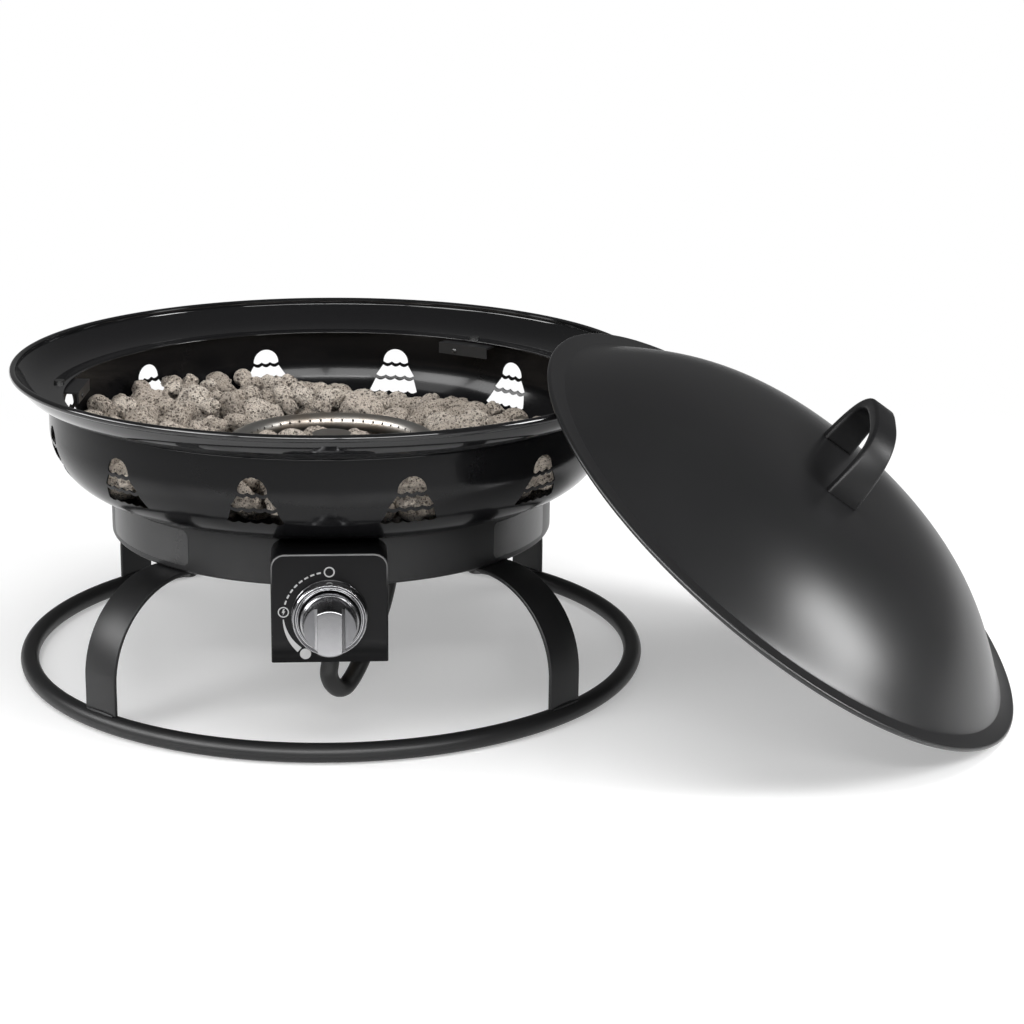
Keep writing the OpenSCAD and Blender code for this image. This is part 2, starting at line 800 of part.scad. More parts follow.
module gas_inlet() {
    color("#b08d3c")
    translate([-box_off, -valve_back, knob_z])
    rotate([-90, 0, 0]) {
        cylinder(r = inlet_shoulder_r, h = inlet_shoulder_l, $fn = 6);
        difference() {
            cylinder(r = inlet_r, h = inlet_shoulder_l + inlet_l, $fn = 48);
            translate([0, 0, inlet_shoulder_l])
            cylinder(r = inlet_r / 2, h = inlet_l + over, $fn = 32);
        }
    }
}

module outlet_nut() {
    color("#b08d3c")
    translate([-box_off, -box_front + outlet_back, outlet_z - hose_nut_h])
    cylinder(r = hose_nut_r, h = hose_nut_h, $fn = 6);
}

// Places a child on the mixer's axis, with z zero at the bowl's axis and +Z outwards.
module at_mixer() {
    translate([0, 0, mixer_z])
    rotate([0, 90, mixer_az])
    children();
}

module hose_ferrules() {
    color("silver") {
        translate([-box_off, -box_front + outlet_back, outlet_z - hose_nut_h - ferrule_l])
        cylinder(r = ferrule_r, h = ferrule_l, $fn = 48);
        at_mixer()
        translate([0, 0, mixer_l + jet_nut_l + jet_stub_l])
        cylinder(r = ferrule_r, h = ferrule_l, $fn = 48);
    }
}

module gas_hose() {
    color("#161616")
    tube_along(hose_pts, hose_r, hose_sides);
}

module gas_jet() {
    color("#b08d3c")
    at_mixer()
    translate([0, 0, mixer_l]) {
        translate([0, 0, -jet_plug_l])
        cylinder(r = pipe_r - pipe_wall - run_gap, h = jet_plug_l, $fn = 48);
        cylinder(r = pipe_r, h = jet_nut_l, $fn = 6);
        cylinder(r = jet_stub_r, h = jet_nut_l + jet_stub_l, $fn = 48);
    }
}

// The two windows through which the mixer draws air.
module air_windows(r) {
    for (turn = [90, 270])
        rotate([0, 0, turn])
        translate([0, -window_w / 2, window_at - window_l / 2])
        cube([r, window_w, window_l]);
}

module air_shutter() {
    color("silver")
    at_mixer()
    difference() {
        translate([0, 0, window_at - shutter_l / 2])
        cylinder(r = pipe_r + 2 * pipe_wall, h = shutter_l, $fn = 64);
        translate([0, 0, -over])
        cylinder(r = pipe_r + run_gap, h = mixer_l, $fn = 64);
        air_windows(2 * pipe_r);
    }
}

// The inlet pipe: up through the bowl's base to the burner's hub, and out to the mixer.
module inlet_pipe() {
    color("#9a9a9a")
    difference() {
        union() {
            at_mixer()
            cylinder(r = pipe_r, h = mixer_l, $fn = 64);
            translate([0, 0, mixer_z])
            sphere(r = pipe_r + pipe_wall / 2, $fn = 64);
            translate([0, 0, mixer_z])
            cylinder(r = pipe_r, h = burner_z - hub_h / 2 - mixer_z, $fn = 64);
            translate([0, 0, bowl_in_z])
            cylinder(r = plate_r, h = plate_t, $fn = 64);
        }
        at_mixer()
        cylinder(r = pipe_r - pipe_wall, h = mixer_l + over, $fn = 64);
        translate([0, 0, mixer_z])
        cylinder(r = pipe_r - pipe_wall, h = burner_z, $fn = 64);
        translate([0, 0, mixer_z])
        sphere(r = pipe_r - pipe_wall / 2, $fn = 64);
        at_mixer()
        air_windows(2 * pipe_r);
        at_plate_screws()
        translate([0, 0, bowl_in_z - over])
        cylinder(r = plate_screw_r + run_gap, h = plate_t + 2 * over, $fn = 32);
    }
}

// Places a child at each screw of the burner's base plate.
module at_plate_screws() {
    for (i = [0:plate_screw_count - 1])
        rotate([0, 0, 90 + 360 * i / plate_screw_count])
        translate([plate_screw_at_r, 0, 0])
        children();
}

module burner_screws() {
    color("silver")
    at_plate_screws() {
        translate([0, 0, bowl_in_z + plate_t])
        cylinder(r = 2 * plate_screw_r, h = plate_screw_r, $fn = 32);
        translate([0, 0, bowl_base_z - 2 * plate_screw_r])
        cylinder(r = plate_screw_r, h = bowl_t + plate_t + 3 * plate_screw_r, $fn = 32);
    }
}

module burner_nuts() {
    color("silver")
    at_plate_screws()
    translate([0, 0, bowl_base_z - plate_screw_r])
    difference() {
        cylinder(r = 2 * plate_screw_r, h = plate_screw_r, $fn = 6);
        translate([0, 0, -over])
        cylinder(r = plate_screw_r + run_gap, h = plate_screw_r + 2 * over, $fn = 32);
    }
}

module burner_ring() {
    color("#b5b5b5")
    translate([0, 0, burner_z])
    difference() {
        union() {
            rotate_extrude($fn = 96)
            translate([burner_r, 0])
            circle(r = burner_tube_r, $fn = 48);
            rotate([0, 90, 0])
            cylinder(r = cross_r, h = 2 * burner_r, center = true, $fn = 48);
            translate([0, 0, -hub_h / 2])
            cylinder(r = hub_r, h = hub_h, $fn = 64);
        }
        rotate_extrude($fn = 96)
        translate([burner_r, 0])
        circle(r = burner_tube_r - burner_wall, $fn = 48);
        rotate([0, 90, 0])
        cylinder(r = cross_r - burner_wall, h = 2 * burner_r, center = true, $fn = 48);
        translate([0, 0, -hub_h / 2 - over])
        cylinder(r = pipe_r - pipe_wall, h = hub_h - burner_wall + over, $fn = 64);
        for (i = [0:port_count - 1])
            rotate([0, 0, 360 * (i + 1 / 2) / port_count])
            translate([burner_r, 0, 0])
            rotate([0, -90 + port_tilt, 0])
            cylinder(r = port_r, h = burner_tube_r + over, $fn = 16);
    }
}

// Places a child at the igniter's foot, with +X towards the bowl's axis.
module at_igniter() {
    rotate([0, 0, igniter_az])
    translate([igniter_at_r, 0, 0])
    rotate([0, 0, 180])
    children();
}

module igniter_ceramic() {
    color("#e8e4d8")
    at_igniter()
    difference() {
        union() {
            translate([0, 0, ceramic_low_z])
            cylinder(r = ceramic_r, h = ceramic_top_z - ceramic_low_z, $fn = 32);
            translate([0, 0, bowl_in_z])
            cylinder(r = ceramic_shoulder_r, h = ceramic_shoulder_h, $fn = 32);
        }
        translate([0, 0, ceramic_low_z + electrode_l])
        cylinder(r = electrode_r, h = ceramic_top_z, $fn = 24);
    }
}

module igniter_electrode() {
    color("silver")
    at_igniter() {
        translate([0, 0, ceramic_low_z + electrode_l])
        cylinder(r = electrode_r, h = ceramic_top_z - ceramic_low_z, $fn = 24);
        translate([0, 0, ceramic_top_z + electrode_l])
        sphere(r = electrode_r, $fn = 24);
        translate([0, 0, ceramic_top_z + electrode_l])
        rotate([0, 90, 0])
        cylinder(r = electrode_r, h = igniter_at_r - burner_r - burner_tube_r - spark_gap, $fn = 24);
    }
}

module igniter_lead() {
    color("#8c2f25")
    tube_along(lead_pts, lead_r, lead_sides);
}

// One lump of rock inside a sphere of radius r. Its lowest point lies on the sphere.
function lump_share(seed, i) = 1 - rock_dent_share * (1 / 2 + sin(seed * 97 + i * 61 + i * i * 17) / 2);
module rock_lump(r, seed) {
    n = rock_sides;
    m = rock_rows;
    pts = concat([[0, 0, -r]], [for (i = [1:m], k = [0:n - 1])
        let (b = -90 + 180 * i / (m + 1),
            a = 360 * (k + i / 2) / n + seed * 40,
            q = r * lump_share(seed, i * n + k))
        [q * cos(b) * cos(a), q * cos(b) * sin(a), q * sin(b)]],
        [[0, 0, r * lump_share(seed, 0)]]);
    top = m * n + 1;
    low_fan = [for (k = [0:n - 1]) [0, 1 + k, 1 + (k + 1) % n]];
    top_fan = [for (k = [0:n - 1]) [top, 1 + (m - 1) * n + (k + 1) % n, 1 + (m - 1) * n + k]];
    band_a = [for (i = [0:m - 2], k = [0:n - 1])
        [1 + i * n + k, 1 + (i + 1) * n + k, 1 + i * n + (k + 1) % n]];
    band_b = [for (i = [0:m - 2], k = [0:n - 1])
        [1 + i * n + (k + 1) % n, 1 + (i + 1) * n + k, 1 + (i + 1) * n + (k + 1) % n]];
    polyhedron(points = pts, faces = concat(low_fan, band_a, band_b, top_fan));
}

// Rocks that lean on the curve of the bowl, each touching it along the same slope.
module rocks_wall() {
    n = ring_count(rock_wall_r, rock_big_r);
    color("#8d8378")
    for (i = [0:n - 1])
        rotate([0, 0, 360 * i / n])
        translate([rock_wall_r, 0, bend_c_z - rock_reach * sin(rock_wall_angle)])
        rotate([0, rock_wall_angle - 90, 0])
        rock_lump(rock_big_r, i);
}

// Rocks on the bowl's base, outside the burner.
module rocks_outer() {
    color("#968b80")
    for (r = rock_rings)
        let (n = ring_count(r, rock_r))
        for (i = [0:n - 1])
            rotate([0, 0, rock_ring_turn + 360 * i / n])
            translate([r, 0, bowl_in_z + rock_r + seat_gap])
            rock_lump(rock_r, i + n);
}

// Rocks on the bowl's base, inside the burner and clear of its cross tube.
module rocks_inner() {
    color("#968b80")
    for (az = rock_inner_az)
        rotate([0, 0, az])
        translate([rock_inner_at_r, 0, bowl_in_z + rock_inner_r + seat_gap])
        rock_lump(rock_inner_r, az);
}

// Places a child on the leaning lid, with +Z out of the dome and z zero under the flange.
module on_lid() {
    translate([lid_x, lid_y, lid_z])
    rotate([0, lean, lean_az])
    children();
}

// Height of the dome over its foot at a share u of its radius.
function dome_rise_share(u) = pow(1 - pow(u, dome_power_share), dome_root_share);
// One side of the dome, from its foot at radius r and height z up to its top at height h.
function dome_side(r, z, h) = [for (j = [0:dome_steps])
    let (a = 90 * j / dome_steps)
    [r * cos(a), z + (h - z) * dome_rise_share(cos(a))]];
module lid_shell() {
    color("#1b1b1b")
    on_lid()
    difference() {
        rotate_extrude($fn = 96) {
            polygon(concat([[lid_r - lid_edge_r, flange_top - lid_t], [lid_r - lid_edge_r, flange_top]],
                dome_side(dome_r, flange_top, dome_h),
                flipped(dome_side(dome_r - lid_t, flange_top - lid_t, dome_h - lid_t))));
            translate([lid_r - lid_edge_r, lid_edge_r])
            circle(r = lid_edge_r, $fn = 32);
        }
        at_handle_screws()
        cylinder(r = handle_screw_r + run_gap, h = dome_h + over, $fn = 32);
    }
}

// Places a child at each handle screw.
module at_handle_screws() {
    rotate([0, 0, handle_az])
    for (side = [-1, 1])
        translate([side * handle_at, 0, 0])
        children();
}

// Half of the handle's arch from its foot to its top, as a round-shouldered curve.
function arch(l, h) = [for (j = [0:handle_steps])
    let (a = 180 * j / handle_steps)
    [l / 2 * sign(cos(a)) * pow(abs(cos(a)), handle_power_share), h * pow(sin(a), handle_power_share)]];
module handle_grip() {
    color("#0a0a0a")
    on_lid()
    difference() {
        rotate([0, 0, handle_az])
        translate([0, 0, handle_z])
        intersection() {
            rotate([90, 0, 0])
            linear_extrude(handle_w, center = true)
            difference() {
                union() {
                    polygon(arch(handle_l, loop_h));
                    translate([-handle_l / 2, -handle_sink])
                    square([handle_l, handle_sink]);
                }
                translate([-handle_in_l / 2, -handle_sink - over])
                square([handle_in_l, handle_sink + over]);
                polygon(arch(handle_in_l, loop_h - handle_t));
            }
            rotate([90, 0, 90])
            linear_extrude(handle_l + over, center = true)
            polygon([[-handle_w / 2, -handle_sink - over], [handle_w / 2, -handle_sink - over],
                [handle_w / 2, 0], [handle_top_w / 2, loop_h + over],
                [-handle_top_w / 2, loop_h + over], [-handle_w / 2, 0]]);
        }
        rotate_extrude($fn = 96)
        polygon(concat([[0, flange_top - over], [dome_r, flange_top - over]],
            [for (q = dome_side(dome_r, flange_top, dome_h)) q + [0, seat_gap]]));
        at_handle_screws()
        cylinder(r = handle_screw_r, h = handle_z + handle_screw_in, $fn = 32);
    }
}

module handle_screws() {
    head_z = handle_z - lid_t - handle_head_h - free_gap;
    color("silver")
    on_lid()
    at_handle_screws() {
        translate([0, 0, head_z])
        cylinder(r = handle_head_r, h = handle_head_h, $fn = 32);
        translate([0, 0, head_z])
        cylinder(r = handle_screw_r, h = handle_z + handle_screw_in - head_z - seat_gap, $fn = 32);
    }
}

base_ring();
leg_front_left();
leg_front_right();
leg_rear_right();
leg_rear_left();
leg_bolts();
leg_nuts();
collar_band();
collar_top_ring();
collar_base_ring();
bowl_body();
rim_flare();
rim_clips();
rim_screws();
control_box();
box_screws();
knob_bezel();
control_knob();
valve_stem();
push_collar();
valve_body();
valve_neck();
valve_nut();
gas_inlet();
outlet_nut();
hose_ferrules();
gas_hose();
gas_jet();
air_shutter();
inlet_pipe();
burner_ring();
burner_screws();
burner_nuts();
igniter_ceramic();
igniter_electrode();
igniter_lead();
rocks_wall();
rocks_outer();
rocks_inner();
lid_shell();
handle_grip();
handle_screws();
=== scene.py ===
# %% [markdown]
# # A portable propane fire pit
# The object is a round sheet-metal fire bowl on a collar, four strap legs and a floor ring.
# A control box hangs in front with a big chrome knob, and a domed lid leans on the rim.
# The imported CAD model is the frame: every piece here sits where the CAD says, in metres.
# This lesson dresses it, one piece or finish to a cell.

# %% Load the frame
import bpy, bmesh, random
from math import asin, atan, copysign, cos, degrees, hypot, pi, radians, sin, sqrt, tan
from mathutils import Vector, Matrix, noise


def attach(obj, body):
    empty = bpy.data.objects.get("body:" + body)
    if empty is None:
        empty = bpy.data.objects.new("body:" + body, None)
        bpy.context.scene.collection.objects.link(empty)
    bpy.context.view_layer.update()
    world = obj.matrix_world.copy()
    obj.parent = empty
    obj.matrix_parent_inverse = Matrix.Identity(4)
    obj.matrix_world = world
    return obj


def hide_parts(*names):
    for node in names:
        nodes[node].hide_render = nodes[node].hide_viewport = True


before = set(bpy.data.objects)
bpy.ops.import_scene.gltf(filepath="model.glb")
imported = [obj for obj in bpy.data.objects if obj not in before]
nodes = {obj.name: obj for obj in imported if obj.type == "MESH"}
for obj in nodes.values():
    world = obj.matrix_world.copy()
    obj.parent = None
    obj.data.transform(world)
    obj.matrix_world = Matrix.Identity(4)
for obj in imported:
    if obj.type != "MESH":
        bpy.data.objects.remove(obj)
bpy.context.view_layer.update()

# %% [markdown]
# ## The camera
# The photograph's rim, ledge and floor ring are ellipses, and one camera fits them all. It stands 1.8 m in
# front of the bowl and 0.4 m above its rim, and looks 16 degrees down through a long lens.

# %% The camera
SENSOR, FOCAL, FAR_CLIP = 36.0, 85.95, 50.0
EYE = Vector((0.0, -1.8319, 0.6419))
YAW, PITCH, ROLL = -0.0763, 0.2806, 0.0116
scene = bpy.context.scene


def put(name, data):
    """An object that holds some data, linked into the scene."""
    obj = bpy.data.objects.new(name, data)
    scene.collection.objects.link(obj)
    return obj


cam = put("photo_camera", bpy.data.cameras.new("photo_camera"))
# From looking straight down: rolled, raised to its pitch, turned by its yaw, and moved to its place.
cam.matrix_world = (Matrix.Translation(EYE) @ Matrix.Rotation(YAW, 4, "Z")
                    @ Matrix.Rotation(pi / 2 - PITCH, 4, "X") @ Matrix.Rotation(ROLL, 4, "Z"))
cam.data.sensor_width, cam.data.lens, cam.data.clip_end = SENSOR, FOCAL, FAR_CLIP
scene.camera = cam
print("camera at", [round(x, 3) for x in cam.location], "lens", FOCAL)

# %% [markdown]
# ## Sockets that add up
# Shader sums read best as sums, so this small class wraps a socket and gives it the signs of arithmetic.
# Only single numbers go through it. Colours and vectors go through Mix and Vector Math nodes.

# %% A socket with arithmetic
class Value:
    """A number that varies over a surface: an output socket of a node tree."""

    def __init__(self, tree, socket):
        self.tree, self.socket = tree, socket

    def _math(self, operation, a, b):
        node = self.tree.nodes.new("ShaderNodeMath")
        node.operation = operation
        for slot_in, x in zip(node.inputs, (a, b)):
            if isinstance(x, Value):
                self.tree.links.new(x.socket, slot_in)
            else:
                slot_in.default_value = x
        return Value(self.tree, node.outputs[0])

    def __add__(self, other): return self._math("ADD", self, other)
    def __radd__(self, other): return self._math("ADD", other, self)
    def __sub__(self, other): return self._math("SUBTRACT", self, other)
    def __rsub__(self, other): return self._math("SUBTRACT", other, self)
    def __mul__(self, other): return self._math("MULTIPLY", self, other)
    def __rmul__(self, other): return self._math("MULTIPLY", other, self)
    def over(self, other): return self._math("GREATER_THAN", self, other)
    def under(self, other): return self._math("LESS_THAN", self, other)
    def most(self, other): return self._math("MAXIMUM", self, other)

    def step(self, low, high):
        """0 below low, 1 above high, and a smooth rise between them."""
        node = self.tree.nodes.new("ShaderNodeMapRange")
        node.interpolation_type = "SMOOTHSTEP"
        self.tree.links.new(self.socket, node.inputs["Value"])
        node.inputs["From Min"].default_value = low
        node.inputs["From Max"].default_value = high
        return Value(self.tree, node.outputs["Result"])


class Finish:
    """A material and its Principled shader, with one method that adds any node."""

    def __init__(self, name, **constants):
        self.material = bpy.data.materials.new(name)
        self.material.use_nodes = True
        self.tree = self.material.node_tree
        self.shader = self.tree.nodes["Principled BSDF"]
        for socket_name, x in constants.items():
            self.shader.inputs[socket_name.replace("_", " ")].default_value = x

    def node(self, kind, out=0, settings=None, **inputs):
        """Adds a node, sets its settings, then fills its sockets with values or links."""
        made = self.tree.nodes.new(kind)
        for key, x in (settings or {}).items():
            if key == "stops":
                ramp = made.color_ramp.elements
                while len(ramp) < len(x):
                    ramp.new(0.5)
                for element, (place, colour) in zip(ramp, x):
                    element.position, element.color = place, colour
            else:
                setattr(made, key, x)
        for key, x in inputs.items():
            number = key[1:] if key[0] == "i" else ""
            socket = made.inputs[int(number) if number.isdigit() else key.replace("_", " ")]
            if isinstance(x, Value):
                self.tree.links.new(x.socket, socket)
            else:
                socket.default_value = x
        return Value(self.tree, made.outputs[out])

    def set(self, **inputs):
        """Links values that vary over the surface to the shader's sockets."""
        for key, x in inputs.items():
            self.tree.links.new(x.socket, self.shader.inputs[key.replace("_", " ")])

    def place(self):
        """The point on the surface in the object's own metres."""
        return self.node("ShaderNodeTexCoord", out="Object")

    def along(self, axis):
        """One coordinate of the point in the object's own metres: 0, 1 or 2 for x, y or z."""
        return self.node("ShaderNodeSeparateXYZ", out=axis, Vector=self.place())

    def cloud(self, scale, detail=3.0, rough=0.5, at=None):
        """A soft noise from 0 to 1; scale is in lumps per metre."""
        return self.node("ShaderNodeTexNoise", Vector=at or self.place(), Scale=scale, Detail=detail,
                         Roughness=rough)

    def mix(self, factor, a, b):
        """A colour between a and b."""
        return self.node("ShaderNodeMix", out=2, settings={"data_type": "RGBA"}, i0=factor, i6=a, i7=b)

    def bump(self, height, distance, strength):
        """A normal from a height in 0 to 1 that stands for distance in metres."""
        return self.node("ShaderNodeBump", Height=height, Distance=distance, Strength=strength)


def rgb(r, g, b):
    return (r, g, b, 1.0)


print("shader helpers ready")

# %% [markdown]
# ## Turned sheet metal
# The bowl, the rim, the collar and the lid are spun or pressed from round blanks, so each is one profile
# turned about an axis. A list of points makes that profile, with small arcs where a press rounds the metal,
# and many steps round the axis keep the highlights on the gloss paint clean.

# %% Points and outlines
MM = 0.001


def mm(*lengths):
    """Lengths given in millimetres, in metres."""
    return [x * MM for x in lengths]


def polar(r, angle, x=0.0, y=0.0):
    """The point at a distance and an angle from (x, y)."""
    return x + r * cos(angle), y + r * sin(angle)


def radial(r, z, azimuth):
    """The point at a distance from the Z axis, a height and an azimuth."""
    return Vector((*polar(r, azimuth), z))


def arc(cx, cz, r, start, end, steps):
    """Points of an arc in the (r, z) plane, from one angle to another in degrees."""
    return [polar(r, radians(start + (end - start) * k / steps), cx, cz) for k in range(steps + 1)]


def fillet(points, radii, steps=5):
    """Rounds the corners of a closed outline of (r, z) points by radii in millimetres; 0 keeps one sharp."""
    out = []
    n = len(points)
    for i in range(n):
        a, b, c = (Vector(points[j % n]) for j in (i - 1, i, i + 1))
        r = radii[i] * MM if i < len(radii) else 0.0
        u, v = a - b, c - b
        if r <= 0:
            out.append(tuple(b))
            continue
        half = u.angle(v) / 2
        reach = min(r / tan(half), 0.49 * u.length, 0.49 * v.length)
        u, v = u.normalized(), v.normalized()
        centre = b + (u + v).normalized() * (reach / cos(half))
        p, q = b + u * reach - centre, b + v * reach - centre
        turn = p.angle_signed(q)
        for k in range(steps + 1):
            cos_t, sin_t = polar(1.0, -turn * k / steps)
            out.append((centre.x + p.x * cos_t - p.y * sin_t, centre.y + p.x * sin_t + p.y * cos_t))
    return out


print("outline helpers ready")


# %% Turned pieces
MERGE, SLIVER = 1e-6, 1e-7


def adopt(obj, material, slot_name, *replaced, body="root"):
    """Gives a piece its finish, rides it on a CAD body, and hides the nodes it stands for. slot_name is not used.
    """
    obj.data.materials.append(material)
    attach(obj, body)
    if replaced:
        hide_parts(*replaced)


def skin(bm, rows, closed=True, ends=False):
    """Faces between rows of vertices. closed joins a row's last to its first; ends caps the outer rows."""
    n = len(rows[0])
    for a, b in zip(rows, rows[1:]):
        for i in range(n if closed else n - 1):
            bm.faces.new((a[i], a[(i + 1) % n], b[(i + 1) % n], b[i]))
    if ends:
        bm.faces.new(rows[0])
        bm.faces.new(rows[-1][::-1])


def new_object(name, bm, smooth_angle=35.0):
    """A Blender object from mesh code, with edges sharper than smooth_angle kept crisp."""
    bmesh.ops.recalc_face_normals(bm, faces=bm.faces)
    limit = radians(smooth_angle)
    for face in bm.faces:
        face.smooth = True
    for edge in bm.edges:
        if len(edge.link_faces) == 2:
            edge.smooth = edge.calc_face_angle(0.0) < limit
    mesh = bpy.data.meshes.new(name)
    bm.to_mesh(mesh)
    bm.free()
    return put(name, mesh)


def lathe(name, outline, spin=160, smooth_angle=35.0):
    """Turns a closed outline of (r, z) points about the Z axis."""
    bm = bmesh.new()
    rings = [[bm.verts.new(radial(r, z, 2 * pi * k / spin)) for r, z in outline] for k in range(spin)]
    skin(bm, rings + rings[:1])
    bmesh.ops.remove_doubles(bm, verts=bm.verts, dist=MERGE)
    bmesh.ops.dissolve_degenerate(bm, dist=SLIVER, edges=bm.edges)
    return new_object(name, bm, smooth_angle)


print("turning helpers ready")

# %% [markdown]
# ## Finishes: black paint
# The bowl and rim are gloss enamel, smooth enough to mirror the room softly, and the rim's is the glossier.
# The stand and collar are satin powder coat with a fine grain. The panel's coat is smoother, with a painted
# highlight along its front bend near the top. The lid is a finer satin that spreads each light wide, and the
# handle is dull moulded plastic. All are nearly the same dark colour, so the difference is in roughness and grain.

# %% Black paints
# The light grey is painted along an edge as a highlight.
PAINTED_HIGHLIGHT_TONE, PAINT_SPREAD = rgb(0.26, 0.26, 0.26), 0.06


def black_paint(name, tone, rough, grain_scale, grain_depth, shine=0.5, patch=9.0, painted_highlight=None, **constants):
    """A black paint: tone and roughness drift in soft patches, and fine grain breaks the gloss.
    An optional band, given by limits along y and a rise along z, is painted light grey along an edge as a
    highlight."""
    f = Finish(name, Specular_IOR_Level=shine, **constants)
    patches = f.cloud(patch, detail=4.0)
    grain = f.cloud(grain_scale, detail=2.0, rough=0.6)
    dark, light = (rgb(*(x * k for x in tone)) for k in (0.82, 1.25))
    colour = f.mix(patches * 0.7 + grain * 0.3, dark, light)
    if painted_highlight:
        low, high, rise_low, rise_high = painted_highlight
        band = f.along(1).over(low) * f.along(1).under(high) * f.along(2).step(rise_low, rise_high)
        # The band is painted light grey as a highlight along the bend.
        colour = f.mix(band * (patches * 0.5 + 0.5), colour, PAINTED_HIGHLIGHT_TONE)
    gloss = patches * PAINT_SPREAD + grain * (PAINT_SPREAD * 0.5) + (rough - PAINT_SPREAD * 0.75)
    f.set(Base_Color=colour, Roughness=gloss, Normal=f.bump(grain, grain_depth, 0.6))
    return f.material


gloss_black = black_paint("gloss_black", (0.005, 0.005, 0.0055), 0.17, 260.0, 0.00003, 0.13, patch=6.0,
                          Coat_Weight=0.1, Coat_Roughness=0.06)
rim_gloss = black_paint("rim_gloss", (0.006, 0.006, 0.0065), 0.15, 260.0, 0.00003, 0.08, patch=6.0,
                        Coat_Weight=0.75, Coat_Roughness=0.03)
satin_black = black_paint("satin_black", (0.0095, 0.0095, 0.01), 0.4, 900.0, 0.00006, 0.3)
lid_black = black_paint("lid_black", (0.009, 0.009, 0.0095), 0.31, 1100.0, 0.00004, 0.42, patch=14.0)
# The panel's top front bend carries a painted highlight.
panel_black = black_paint("panel_black", (0.005, 0.005, 0.0055), 0.32, 1000.0, 0.00004, 0.13,
                          painted_highlight=(-0.2049, -0.2042, 0.114, 0.14))
handle_black = black_paint("black_plastic", (0.006, 0.006, 0.0065), 0.42, 700.0, 0.00006, 0.26)
screw_black = black_paint("black_screw", (0.02, 0.02, 0.02), 0.34, 1500.0, 0.00002)
film_black = black_paint("blank_film", (0.018, 0.018, 0.0185), 0.24, 400.0, 0.00002, patch=40.0)
print("black paints", 8)

# %% [markdown]
# ## Finishes: bare metal, rubber, stone
# The knob and its ring are satin chrome over plastic. Valve and jet are brass, nuts and screws zinc plate.
# The burner is stainless tube that the flame has tinted straw and brown in patches.
# Metals need fine brushing and a varying roughness, or they look like grey plastic.

# %% Metals
# A darker colour painted as shade on the knob's recess floors, and the roughness added there.
RECESS_SHADE_TONE, DULL_ROUGH = rgb(0.14, 0.14, 0.145), 0.12


def metal(name, tone, tint, rough, brush, depth, tint_scale=30.0, spread=0.1, recess=None):
    """A bare metal with fine marks, and a second tone in soft patches.
    recess gives a band along y and the middle and half width of a bar; beside the bar the plating is rougher and
    its colour is painted darker as shade."""
    f = Finish(name, Metallic=1.0)
    marks = f.cloud(brush, detail=3.0, rough=0.65)
    patches = f.cloud(tint_scale, detail=5.0, rough=0.6)
    colour = f.mix(patches.step(0.35, 0.75), rgb(*tone), rgb(*tint))
    gloss = marks * spread + patches * (spread * 0.6) + (rough - spread * 0.8)
    if recess:
        low, high, middle, half = recess
        aside = f.along(0) - middle
        dull_and_shaded = f.along(1).over(low) * f.along(1).under(high) * aside.most(aside * -1).over(half)
        # The recess floors beside the bar are painted darker as shade, and made rougher.
        colour = f.mix(dull_and_shaded, colour, RECESS_SHADE_TONE)
        gloss = gloss + dull_and_shaded * DULL_ROUGH
    f.set(Base_Color=colour, Roughness=gloss, Normal=f.bump(marks, depth, 0.5))
    return f.material


chrome = metal("knob_chrome", (0.25, 0.25, 0.256), (0.215, 0.215, 0.22), 0.2, 500.0, 0.00002, spread=0.06,
               recess=(-0.2342, -0.2312, -0.0026, 0.0106))
ring_chrome = metal("ring_chrome", (0.29, 0.29, 0.297), (0.25, 0.25, 0.257), 0.12, 500.0, 0.00001, spread=0.05)
zinc = metal("zinc_plate", (0.62, 0.62, 0.64), (0.5, 0.5, 0.47), 0.34, 900.0, 0.00003)
brass = metal("brass", (0.72, 0.53, 0.24), (0.55, 0.37, 0.15), 0.28, 700.0, 0.00002, tint_scale=60.0)
stainless = metal("heat_tinted_steel", (0.42, 0.41, 0.39), (0.34, 0.29, 0.24), 0.38, 800.0, 0.00003,
                  tint_scale=24.0)
print("metals", 5)

# %% Rubber, ceramic and print
def plain_surface(name, tone, second, rough, scale, depth, **constants):
    """Rubber, glaze or ink: a fine uneven surface in two close tones."""
    f = Finish(name, **constants)
    fine, wide = f.cloud(scale, detail=3.0), f.cloud(scale / 14, detail=2.0)
    f.set(Base_Color=f.mix(wide, rgb(*tone), rgb(*second)), Roughness=fine * 0.1 + (rough - 0.05),
          Normal=f.bump(fine, depth, 0.5))
    return f.material


hose_rubber = plain_surface("hose_rubber", (0.01, 0.01, 0.01), (0.016, 0.016, 0.0155), 0.46, 900.0, 0.00008,
                            Specular_IOR_Level=0.35)
lead_rubber = plain_surface("lead_silicone", (0.3, 0.045, 0.03), (0.38, 0.07, 0.045), 0.4, 700.0, 0.00003)
ceramic = plain_surface("igniter_ceramic", (0.8, 0.78, 0.72), (0.7, 0.67, 0.6), 0.25, 500.0, 0.00002)
panel_print = plain_surface("panel_print", (0.42, 0.42, 0.42), (0.5, 0.5, 0.5), 0.5, 800.0, 0.00001)
print("rubber, ceramic and print", 4)

# %% [markdown]
# ## Finish: lava rock
# Each lump is grey-brown stone full of gas bubbles. Big pits are cut in its mesh later on.
# Here three sizes of cells give the smaller bubbles, painted dark inside as shade, and every lump gets its own
# tone.

# %% Lava rock
BUBBLES = ((200.0, 0.09, 0.37), (400.0, 0.1, 0.42), (850.0, 0.08, 0.43))
STONE_TONES = ((0.0, rgb(0.38, 0.325, 0.265)), (0.5, rgb(0.61, 0.53, 0.45)), (1.0, rgb(0.84, 0.765, 0.67)))
# Inside the bubbles the stone is painted dark as shade.
PIT_SHADE_TONE = rgb(0.1, 0.078, 0.06)

